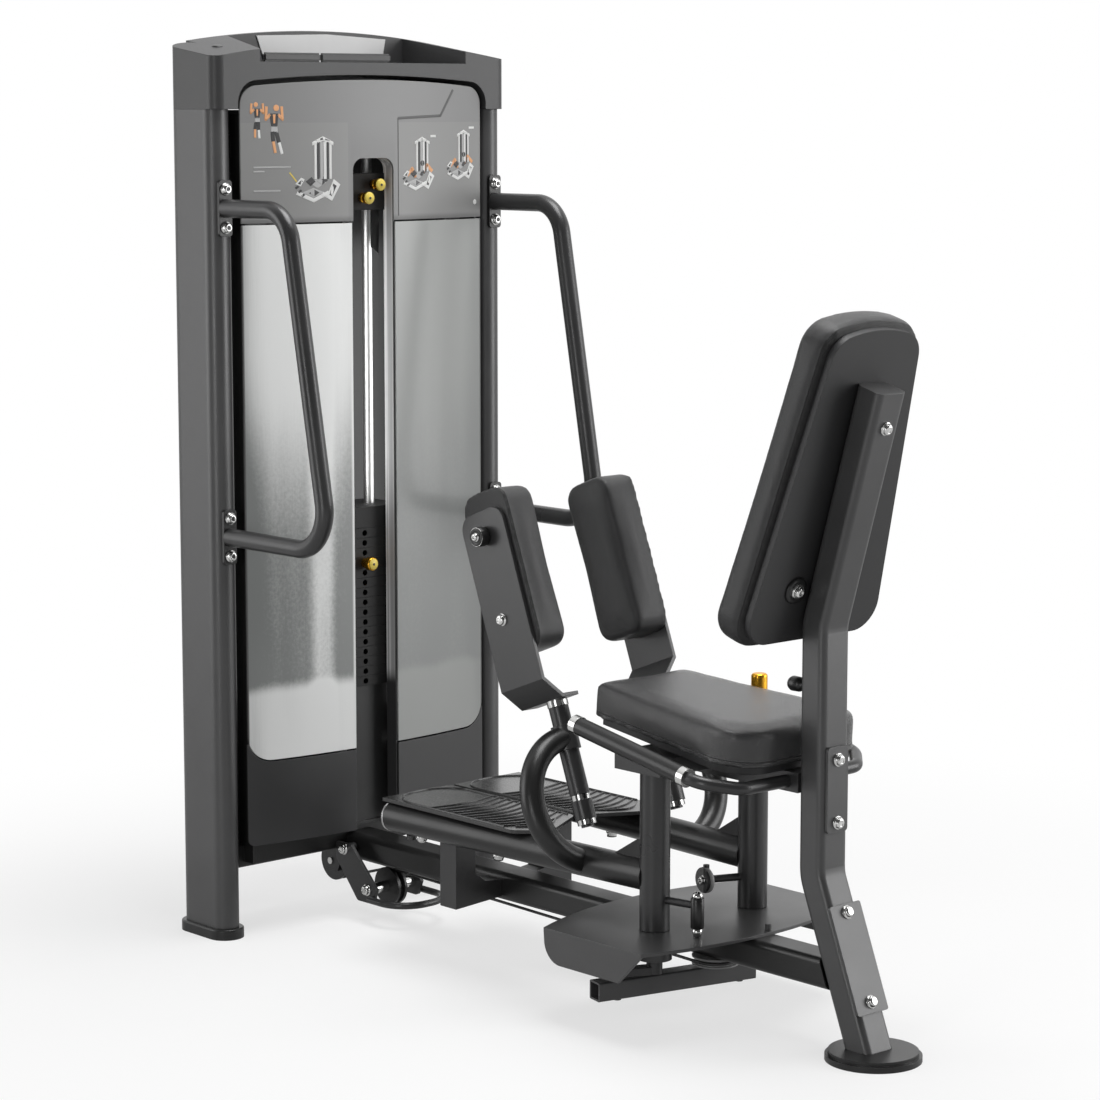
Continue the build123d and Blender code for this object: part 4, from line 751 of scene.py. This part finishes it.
# The cupped washers on the back board.
ring = [(0, -0.0005), (0.0206, -0.0005), (0.0206, 0.0022), (0.0192, 0.0042), (0.012, 0.0042)]
ring += [(0.0112, 0.0034), (0, 0.0034)]
for number, corner in enumerate(board_corners):
    name = f"board_washer_{number}"
    add_turned(name, "frame", black_moulding, ring, corner, back_out * -1, 40)

# The knob on each pad's bracket: a black grip round a bright bolt.
grip_top = 0.0192
grip_profile = [(0, 0.0042), (0.0152, 0.0042), (0.0158, 0.006), (0.0158, 0.0175)]
grip_profile += [(0.0142, 0.0197), (0.0092, 0.0197), (0.0088, grip_top), (0, grip_top)]
boss_profile = [(0, -0.0005), (0.0108, -0.0005), (0.0108, 0.0052), (0, 0.0052)]
for side, sign in sides:
    name, body = f"{side}_pad_knob", f"{side}_pad"
    spot, out = on_bracket(sign, 0.337, -0.0175), y_axis * sign
    grip = merged([turned(grip_profile, spot, out, 48), turned(boss_profile, spot, out, 24)])
    for vertex in grip.verts:
        spread = Vector((vertex.co.x - spot.x, 0, vertex.co.z - spot.z))
        if spread.length > 0.0155:
            vertex.co -= spread * (0.02 + 0.02 * cos(atan2(spread.z, spread.x) * 12))
    new_piece(name, mesh_from(name, grip), grip_skin, body)
    add_bolts(name + "_bolt", body, [(spot + out * grip_top, out)], size=0.72)

# Domed nuts under the leg arms and a bright end band on each arm tube.
dome_radius, dome_foot, dome_rise = 0.0088, 0.0018, 0.0078
dome_profile = [(0, -0.004), (0.0102, -0.004), (0.0102, 0.0012), (dome_radius, dome_foot)]
for k in range(1, 6):
    swing = pi / 2 * k / 6
    dome_profile.append((dome_radius * cos(swing), dome_foot + dome_rise * sin(swing)))
dome_profile.append((0, dome_foot + dome_rise))
band = [(0, -0.002), (0.0256, -0.002), (0.0256, 0.0012), (0.0236, 0.0024), (0, 0.003)]
for side, sign in sides:
    name, body = f"{side}_arm_domes", f"{side}_arm"
    domes = []
    for x in (0.332, 0.513):
        y = post_y + (post_x - x) * sin(arm_splay)
        domes.append(turned(dome_profile, at_tower(x, sign * y, 0.205), z_axis * -1))
    new_piece(name, mesh_from(name, merged(domes)), chrome, body)
    back = Vector((-cos(arm_splay), sign * sin(arm_splay), 0))
    end = at_tower(post_x, sign * post_y, arm_z) + back * arm_reach
    add_turned(f"{side}_arm_end_band", body, satin_steel, band, end, back, 40)

# The index pins on the posts: a grey disc on the right and a black sleeve with bright ends.
disc_thick = 0.0066
disc = [(0, 0), (0.0204, 0), (0.0206, 0.0008), (0.0206, 0.0058), (0.0196, disc_thick)]
disc.append((0, disc_thick))
disc_at = at_tower(post_x, post_y, index_z) + level_way(-112) * 0.0788
disc_way = level_way(-96)
add_turned("index_disc", "right_arm", disc_grey, disc, disc_at, disc_way, 40)
disc_bolt = [(disc_at + disc_way * disc_thick, disc_way)]
add_bolts("index_disc_bolt", "right_arm", disc_bolt, size=0.8)
sleeve_at = at_tower(post_x, -post_y, index_z) + level_way(11) * 0.079
sleeve = [(0, -0.0345), (0.0098, -0.0345), (0.0104, -0.0335), (0.0104, 0.0115)]
sleeve += [(0.0098, 0.0125), (0, 0.0125)]
add_turned("index_sleeve", "left_arm", black_moulding, sleeve, sleeve_at, z_axis)
tip = [(0, -0.0495), (0.003, -0.049), (0.0062, -0.0465), (0.0076, -0.042), (0.0076, -0.034)]
tip.append((0, -0.034))
crown = [(0, 0.012), (0.0086, 0.012), (0.0084, 0.0165), (0.006, 0.0205), (0.0028, 0.0222)]
crown.append((0, 0.0225))
ends = merged([turned(tip, sleeve_at, z_axis), turned(crown, sleeve_at, z_axis)])
new_piece("index_sleeve_ends", mesh_from("index_sleeve_ends", ends), chrome, "left_arm")

# The black pull knob on the rear upright's front face, behind the seat.
pull = [(0, 0), (0.006, 0), (0.006, 0.020), (0.0085, 0.022), (0.0112, 0.026), (0.0115, 0.040)]
pull += [(0.0095, 0.044), (0, 0.0445)]
pull_at = at_tower(1.0805, 0, 0.5425)
add_turned("upright_pull_knob", "frame", black_moulding, pull, pull_at, x_axis * -1)

# The light face of the selector pin's knob.
pin_face = Vector((-0.54425, 0, 0.61505))
face_disc = [(0, -0.0004), (0.0094, -0.0004), (0.0094, 0.0002), (0.0084, 0.0008), (0, 0.0008)]
add_turned("pin_face", "pin", gold_face, face_disc, pin_face, x_axis)
dimple = [(0, 0.0006), (0.0022, 0.0006), (0.0022, 0.0012), (0, 0.0012)]
add_turned("pin_dimple", "pin", print_dark, dimple, pin_face, x_axis, 12)

# The add-on lever that hangs in the slot.
lever = [(0.010, 0.0255, 1.2225), (0.010, 0.0425, 1.2225)]
lever += [(0.010, 0.0425, 1.146), (0.010, 0.0255, 1.1585)]
add_plate("addon_lever", black_moulding, lever, 0.003, x_axis)

# A strip behind the joint of header and window.
strip = [(0.035, -0.15, 1.197), (0.035, -0.056, 1.197)]
strip += [(0.035, -0.056, 1.210), (0.035, -0.15, 1.210)]
add_plate("seam_strip", deep_black, strip, 0.003, x_axis)

# The cap's tray: a pale panel at its back, a painted reflection of light on the tray's back wall,
# and a raised edge at its front. A plug on the shoulder.
panel = [(-0.1008, -0.108, 1.4575), (-0.1008, 0.140, 1.4575), (-0.1008, 0.151, 1.5125)]
panel += [(-0.1008, 0.02, 1.5195), (-0.1008, -0.130, 1.5155)]
add_plate("tray_panel", tray_reflection_skin, panel, 0.0018, x_axis)
tray_edges = (
    ("tray_edge_left", -0.2096, -0.0905, black_moulding),
    ("tray_edge_right", -0.091, 0.060, cap_skin),
)
inner_x, outer_x, edge_z = 0.020, 0.0285, 1.4702
for name, y0, y1, finish in tray_edges:
    edge = [(inner_x, y0, edge_z), (outer_x, y0, edge_z)]
    edge += [(outer_x, y1, edge_z), (inner_x, y1, edge_z)]
    add_plate(name, finish, edge, 0.0148, z_axis)
plug = [(0, -0.002), (0.0095, -0.002), (0.0095, 0.0008), (0.008, 0.0018), (0, 0.0018)]
plug_at, plug_way = at_tower(-0.030, -0.262, 1.4946), (0.16, -0.08, 1)
add_turned("cap_plug", "frame", black_moulding, plug, plug_at, plug_way)


# ------------------------------------------------------------ ribs moulded into the foot plates
def tread_lines(sign):
    """Bowed ribs over the seat half of a foot plate, and a rim line round its nose."""
    rows, steps, bend_steps = 12, 12, 8
    first_x, pitch, rim_end = 0.372, 0.0178, 0.55
    lines = []
    for row in range(rows):
        x = first_x + row * pitch
        bow = 0.012 + row * 0.0012
        far = 0.142 if x < 0.555 else 0.142 - (x - 0.555) * 0.75
        near = 0.012 if x < 0.548 else 0.012 + (x - 0.548) * 1.75
        line = []
        for k in range(steps + 1):
            y = near + (far - near) * k / steps
            line.append(at_tower(x + bow * sin(pi * k / steps) - 0.006, sign * y, tread_z))
        lines.append(line)
    rim = [at_tower(rim_end, sign * 0.1465, tread_z)]
    bends = (((0.320, 0.081), 0.0655, 90, 180), ((0.308, 0.062), 0.0535, 180, 270))
    for centre, radius, first, last in bends:
        for k in range(bend_steps + 1):
            turn = radians(first + (last - first) * k / bend_steps)
            y = centre[1] + radius * sin(turn)
            rim.append(at_tower(centre[0] + radius * cos(turn), sign * y, tread_z))
    rim.append(at_tower(rim_end, sign * 0.0085, tread_z))
    return [*lines, rim]


for side, sign in sides:
    carrier = line_carrier(f"{side}_tread", tread_lines(sign))
    values = {"Half height": 0.0011, "Half width": 0.0024, "Finish": tread_skin}
    cook(f"{side}_tread_ribs", carrier, rib_recipe, values, f"{side}_arm")


# ------------------------------------------------------------ padded pieces
fine_voxel, quick_voxel = 0.005, 0.009
board_band, slack, held_band = 0.004, 0.0028, 0.006
cloth_steps, even_rounds = 15, 14


def stuffed(node, name, body, finish, out, back, cap):
    """The upholstered form of a pad: its solid remeshed, swelled by cloth pressure, flat behind.

    out is the way the face looks, back a point on the board's side and cap the most it may swell.
    """
    work = bmesh.new()
    work.from_mesh(nodes[node].data)
    bmesh.ops.remove_doubles(work, verts=work.verts, dist=1e-6)
    bmesh.ops.recalc_face_normals(work, faces=work.faces)
    pad = bpy.data.objects.new(name, mesh_from(name, work))
    scene.collection.objects.link(pad)
    remesh = pad.modifiers.new("even skin", "REMESH")
    remesh.mode = "VOXEL"
    remesh.voxel_size = fine_voxel
    settle(pad)
    skin = pad.data.vertices
    normals = [vertex.normal.copy() for vertex in skin]
    for vertex, normal in zip(skin, normals):
        if (vertex.co - back).dot(out) > board_band:
            vertex.co -= normal * slack
    press_full(pad, out, back, cap)
    smooth = pad.modifiers.new("even", "SMOOTH")
    smooth.factor, smooth.iterations = 0.5, 4
    finer = pad.modifiers.new("finer", "SUBSURF")
    finer.levels = finer.render_levels = 1
    settle(pad)
    for face in pad.data.polygons:
        face.use_smooth = True
    pad.data.materials.clear()
    pad.data.materials.append(finish)
    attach(pad, body)
    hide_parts(node)


def settle(piece):
    """Applies a piece's modifiers to its mesh."""
    bpy.context.view_layer.update()
    evaluated = piece.evaluated_get(bpy.context.evaluated_depsgraph_get())
    mesh = bpy.data.meshes.new_from_object(evaluated)
    piece.modifiers.clear()
    piece.data = mesh


def press_full(pad, out, back, cap):
    """Swells a pad by cloth pressure, with its back held, and evens out how far it moves."""
    skin = pad.data.vertices
    held = pad.vertex_groups.new(name="held")
    on_board = [v.index for v in skin if (v.co - back).dot(out) < held_band]
    held.add(on_board, 1.0, "REPLACE")
    start = [v.co.copy() for v in skin]
    cloth = pad.modifiers.new("stuffing", "CLOTH")
    cloth.settings.quality = 4
    cloth.settings.use_pressure = True
    cloth.settings.uniform_pressure_force = 4.0
    cloth.settings.effector_weights.gravity = 0.0
    cloth.settings.vertex_group_mass = "held"
    cloth.settings.tension_stiffness = 30.0
    cloth.settings.compression_stiffness = 30.0
    cloth.settings.bending_stiffness = 12.0
    cloth.collision_settings.use_collision = False
    for step in range(1, cloth_steps + 1):
        scene.frame_set(step)
    evaluated = pad.evaluated_get(bpy.context.evaluated_depsgraph_get())
    swollen = [v.co.copy() for v in evaluated.data.vertices]
    pad.modifiers.remove(cloth)
    scene.frame_set(1)
    steps = np.array([b - a for a, b in zip(start, swollen)])
    far = np.linalg.norm(steps, axis=1, keepdims=True)
    steps *= np.minimum(1.0, cap / np.maximum(far, 1e-9))
    ends = np.array([edge.vertices[:] for edge in pad.data.edges])
    linked = np.bincount(ends.ravel(), minlength=len(steps))[:, None]
    for _ in range(even_rounds):
        total = np.zeros_like(steps)
        np.add.at(total, ends[:, 0], steps[ends[:, 1]])
        np.add.at(total, ends[:, 1], steps[ends[:, 0]])
        steps = (steps + total / linked) / 2
        steps[on_board] = 0.0
    for vertex, place, step in zip(skin, start, steps):
        vertex.co = place + Vector(step)


seat_board = seat_top - seat_up * seat_thick
stuffed("seat_pad", "seat_cushion", "frame", seat_vinyl, seat_up, seat_board, 0.005)
back_board = back_origin + back_out * back_gap
stuffed("back_pad", "back_cushion", "frame", back_vinyl, back_out, back_board, 0.005)
for side, sign in sides:
    face = y_axis * -sign
    board = y_axis * (sign * knee_board_y)
    skin = vinyl(f"{side} knee vinyl", face, board + face * 0.065, ((0.0625, 0.002),))
    name = f"{side}_knee_cushion"
    stuffed(f"{side}_knee_pad", name, f"{side}_pad", skin, face, board, 0.004)


# ------------------------------------------------------------ header artwork on the bowed front
bow_radius = (panel_half**2 + panel_bow**2) / (2 * panel_bow)
print_low, print_high, print_strip = -0.0002, 0.0003, 12


def on_front(y, z, lift):
    """A point of the bowed front face, lifted off it."""
    ahead = sqrt(bow_radius**2 - y * y)
    outward = Vector((ahead, y, 0)).normalized()
    return Vector((front_crown - (bow_radius - ahead), y, z)) + outward * lift


def disc_shape(y, z, radius, steps=14):
    """The outline of a disc."""
    turns = [2 * pi * k / steps for k in range(steps)]
    return [(y + radius * cos(turn), z + radius * sin(turn)) for turn in turns]


def bar_shape(y0, z0, y1, z1, width):
    """A straight bar between two points, given as an outline."""
    run = hypot(y1 - y0, z1 - z0)
    sy, sz = -(z1 - z0) / run * width / 2, (y1 - y0) / run * width / 2
    return [(y0 + sy, z0 + sz), (y0 - sy, z0 - sz), (y1 - sy, z1 - sz), (y1 + sy, z1 + sz)]


def print_on_front(name, shapes, finishes):
    """Thin raised print: outlines in millimetres, each with the index of its finish."""
    work = bmesh.new()
    for outline, index in shapes:
        flat = bmesh.new()
        flat.faces.new([flat.verts.new((0, y / 1000, z / 1000)) for y, z in outline])
        bmesh.ops.triangulate(flat, faces=flat.faces)
        cut = min(y for y, _ in outline) + print_strip
        while cut < max(y for y, _ in outline):
            whole = [*flat.verts, *flat.edges, *flat.faces]
            place = (0, cut / 1000, 0)
            bmesh.ops.bisect_plane(flat, geom=whole, plane_co=place, plane_no=y_axis)
            cut += print_strip
        below, above = (
            {v: work.verts.new(on_front(v.co.y, v.co.z, lift)) for v in flat.verts}
            for lift in (print_low, print_high)
        )
        for face in flat.faces:
            work.faces.new([above[v] for v in face.verts]).material_index = index
            work.faces.new([below[v] for v in reversed(face.verts)]).material_index = index
        for edge in flat.edges:
            if len(edge.link_faces) == 1:
                a, b = edge.verts
                work.faces.new([above[a], below[a], below[b], above[b]]).material_index = index
        flat.free()
    bmesh.ops.recalc_face_normals(work, faces=work.faces)
    piece = new_piece(name, mesh_from(name, work, smooth=False), None, "frame")
    for finish in finishes:
        piece.data.materials.append(finish)


art = []


def bars(points, width, index):
    """Bars from point to point, with rounded bends."""
    for (y0, z0), (y1, z1) in zip(points, points[1:]):
        art.append((bar_shape(y0, z0, y1, z1, width), index))
    for y, z in points[1:-1]:
        art.append((disc_shape(y, z, width / 2, 8), index))


def block(corners, y, z, scale, index):
    """A flat shape from its corners, placed and scaled."""
    art.append(([(y + a * scale, z + b * scale) for a, b in corners], index))


def draw_figure(y, z, tall, lean):
    """A plain standing figure sign with raised arms: light limbs and a dark body."""
    s = tall / 100
    art.append((disc_shape(y + lean * 4, z + 93 * s, 6.5 * s), 3))
    block(((-10, 82), (10, 82), (7, 56), (-7, 56)), y, z, s, 2)
    block(((-7, 57), (7, 57), (8, 44), (-8, 44)), y, z, s, 1)
    block(((-3, 80), (3, 80), (2, 62), (-2, 62)), y, z, s, 3)
    for way in (-1, 1):
        elbow, hand = (y + way * 19 * s, z + 70 * s), (y + way * 17 * s, z + 96 * s)
        bars([(y + way * 9 * s, z + 80 * s), elbow, hand], 4.2 * s + 1.4, 3)
    bars([(y - 4 * s, z + 46 * s), (y - 5 * s + lean * 2, z + 26 * s)], 7.5 * s + 1, 2)
    bars([(y + 4 * s, z + 46 * s), (y + 7 * s + lean * 3, z + 24 * s)], 7.5 * s + 1, 2)
    bars([(y - 5 * s + lean * 2, z + 26 * s), (y - 3 * s + lean * 4, z + 3 * s)], 5 * s + 1, 3)
    bars([(y + 7 * s + lean * 3, z + 24 * s), (y + 11 * s + lean * 5, z + 1 * s)], 5 * s + 1, 0)


def draw_machine(y, z, size, rider):
    """A plain picture of such a machine: tower, base, seat and pads."""
    s = size / 100
    stripes = ((6, 11, 0), (12, 17, 2), (18, 24, 1), (25, 31, 0), (32, 36, 2), (37, 42, 0))
    for left, right, index in stripes:
        block(((left, 40), (right, 40), (right, 104), (left, 104)), y, z, s, index)
    block(((2, 98), (2, 104), (24, 114), (46, 104), (46, 98), (24, 106)), y, z, s, 0)
    block(((8, 106), (24, 112), (40, 106), (24, 108)), y, z, s, 2)
    for spot, long in ((-34, 26), (-28, 19), (-22, 12)):
        slat = ((spot, long), (spot + 6, long + 4), (spot + 9, long + 1), (spot + 3, long - 3))
        block(slat, y, z, s, spot % 3)
    block(((-32, 14), (4, 0), (38, 14), (34, 20), (4, 7), (-28, 20)), y, z, s, 0)
    block(((-20, 17), (4, 8), (26, 17), (4, 25)), y, z, s, 1)
    block(((-6, 16), (6, 11), (16, 17), (6, 22)), y, z, s, 2)
    block(((-33, 32), (-21, 43), (-14, 40), (-22, 28)), y, z, s, 0)
    block(((-28, 33), (-21, 39), (-18, 37), (-23, 31)), y, z, s, 2)
    block(((-12, 36), (0, 44), (8, 36), (-2, 28)), y, z, s, 2)
    block(((-4, 34), (12, 24), (30, 34), (16, 42)), y, z, s, 1)
    block(((12, 36), (22, 30), (34, 38), (24, 45)), y, z, s, 2)
    block(((30, 8), (42, 2), (60, 30), (46, 40)), y, z, s, 0)
    block(((36, 13), (42, 10), (52, 28), (45, 32)), y, z, s, 2)
    block(((20, 12), (30, 8), (34, 14), (24, 18)), y, z, s, 0)
    if rider:
        knees = ((-20, 32), (-6, 47), (4, 28)), ((26, 40), (38, 54), (54, 40))
        for leg, width in zip(knees, (7, 8)):
            bars([(y + a * s, z + b * s) for a, b in leg], width * s, 3)
        art.append((disc_shape(y + 24 * s, z + 58 * s, 6 * s), 2))
    else:
        bars([(y - 44 * s, z + 52 * s), (y - 30 * s, z + 36 * s)], 2.4, 5)


draw_figure(-229, 1344, 60, -0.6)
draw_figure(-198, 1318, 82, 1.0)
for y0, y1, z in ((-237, -168, 1297), (-237, -217, 1290), (-237, -188, 1258)):
    art.append(([(y0, z - 1.3), (y1, z - 1.3), (y1, z + 1.3), (y0, z + 1.3)], 1))
draw_machine(-128, 1238, 96, False)
draw_machine(92, 1254, 80, True)
draw_machine(197, 1270, 76, True)
for y0, y1, z in ((131, 144, 1346), (229, 243, 1360)):
    art.append(([(y0, z - 2), (y1, z - 2), (y1, z + 2), (y0, z + 2)], 0))
art.append((disc_shape(245, 1231, 4.5), 0))
bars([(188, 1425), (156, 1381), (55, 1377)], 4.5, 4)
bars([(55, 1377), (55, 1212)], 1.6, 4)
prints = (print_white, print_grey, print_dark, print_orange, print_line, gold_face)
print_on_front("header_artwork", art, prints)


# ------------------------------------------------------------ light and floor
def light_room(room_level):
    """A white backdrop, where gloss sees a dark room on the near side and white on the far side."""
    sky = bpy.data.worlds.new("studio")
    scene.world = sky
    sky.use_nodes = True
    tree = sky.node_tree
    tree.nodes.clear()

    def add(kind, values, **settings):
        made = tree.nodes.new("ShaderNode" + kind)
        for key, value in settings.items():
            setattr(made, key, value)
        for key, value in values.items():
            if isinstance(value, bpy.types.NodeSocket):
                tree.links.new(value, made.inputs[key])
            else:
                made.inputs[key].default_value = value
        return made

    ray = add("LightPath", {}).outputs
    seen = {0: ray["Is Camera Ray"], 1: ray["Is Transmission Ray"]}
    clear = add("Math", seen, operation="MAXIMUM")
    way = add("TexCoord", {}).outputs["Generated"]
    far = add("VectorMath", {0: way, 1: (-0.74, 0.67, 0.25)}, operation="DOT_PRODUCT")
    span = {"From Min": -0.2, "From Max": 0.5, "To Min": 0.1, "To Max": 1.0}
    span["Value"] = far.outputs["Value"]
    gloss = add("MapRange", span, interpolation_type="SMOOTHSTEP")
    mixed = {0: ray["Is Glossy Ray"], 2: room_level, 3: gloss.outputs[0]}
    glossy = add("Mix", mixed, data_type="FLOAT")
    mixed = {0: clear.outputs[0], 2: glossy.outputs[0], 3: 1.0}
    level = add("Mix", mixed, data_type="FLOAT")
    backdrop = add("Background", {"Color": (1, 1, 1, 1), "Strength": level.outputs[0]})
    add("OutputWorld", {0: backdrop.outputs[0]})


place_camera()
light_room(0.24)
add_softbox("left softbox", (-2.9, -3.4, 1.3), (-0.2, 0, 0.7), 2.2, 3.0, 56)
add_softbox("right softbox", (3.2, 3.3, 1.4), (0, 0, 0.7), 2.2, 3.0, 96)
add_softbox("top softbox", (0.3, 0.4, 4.2), (0.1, 0, 0), 2.4, 2.0, 116)
add_softbox("front softbox", (1.7, -4.3, 0.9), (0, 0, 0.6), 0.8, 2.2, 34)
slot_lamp = at_tower(0.012, -0.038, 0.96)
add_softbox("light in the slot", slot_lamp, slot_lamp + y_axis, 0.03, 0.46, 0.16)
for _, sign in sides:
    place, aim = at_tower(0.02, sign * 0.15, 0.76), at_tower(-1, sign * 0.15, 0.76)
    add_softbox("light through the window", place, aim, 0.18, 0.8, 1.2)


def lay_floor():
    """A white floor that keeps the shadow and turns into the backdrop further away."""
    finish = Finish("studio floor", Roughness=0.9)
    mottled = finish.noise(1.2, 2.0)
    shown = finish.node("LightPath", out=3) * 0.45 + finish.node("LightPath", out=0)
    white = finish.mix(mottled, (0.9, 0.9, 0.9), (0.93, 0.93, 0.93))
    finish.feed("Base Color", finish.mix(shown, (0.16, 0.16, 0.16), white))
    reach = finish.node("VectorMath", {"operation": "LENGTH"}, {0: finish.place()}, out=1)
    fade = (finish.band(reach, 0.8, 2.0) * 0.35 + 0.65) * shown
    glow = finish.node("Emission", {}, {"Color": (1, 1, 1, 1), "Strength": 1.0})
    lit = Wire(finish, finish.shader.outputs[0])
    blend = finish.node("MixShader", {}, {0: fade, 1: lit, 2: glow})
    surface = finish.tree.nodes["Material Output"].inputs["Surface"]
    finish.tree.links.new(blend.socket, surface)
    work = bmesh.new()
    bmesh.ops.create_circle(work, cap_ends=True, segments=96, radius=40)
    mesh = mesh_from("studio_floor", work, smooth=False)
    floor = bpy.data.objects.new("studio_floor", mesh)
    scene.collection.objects.link(floor)
    floor.data.materials.append(finish.material)


lay_floor()
scene.view_settings.view_transform = "Standard"
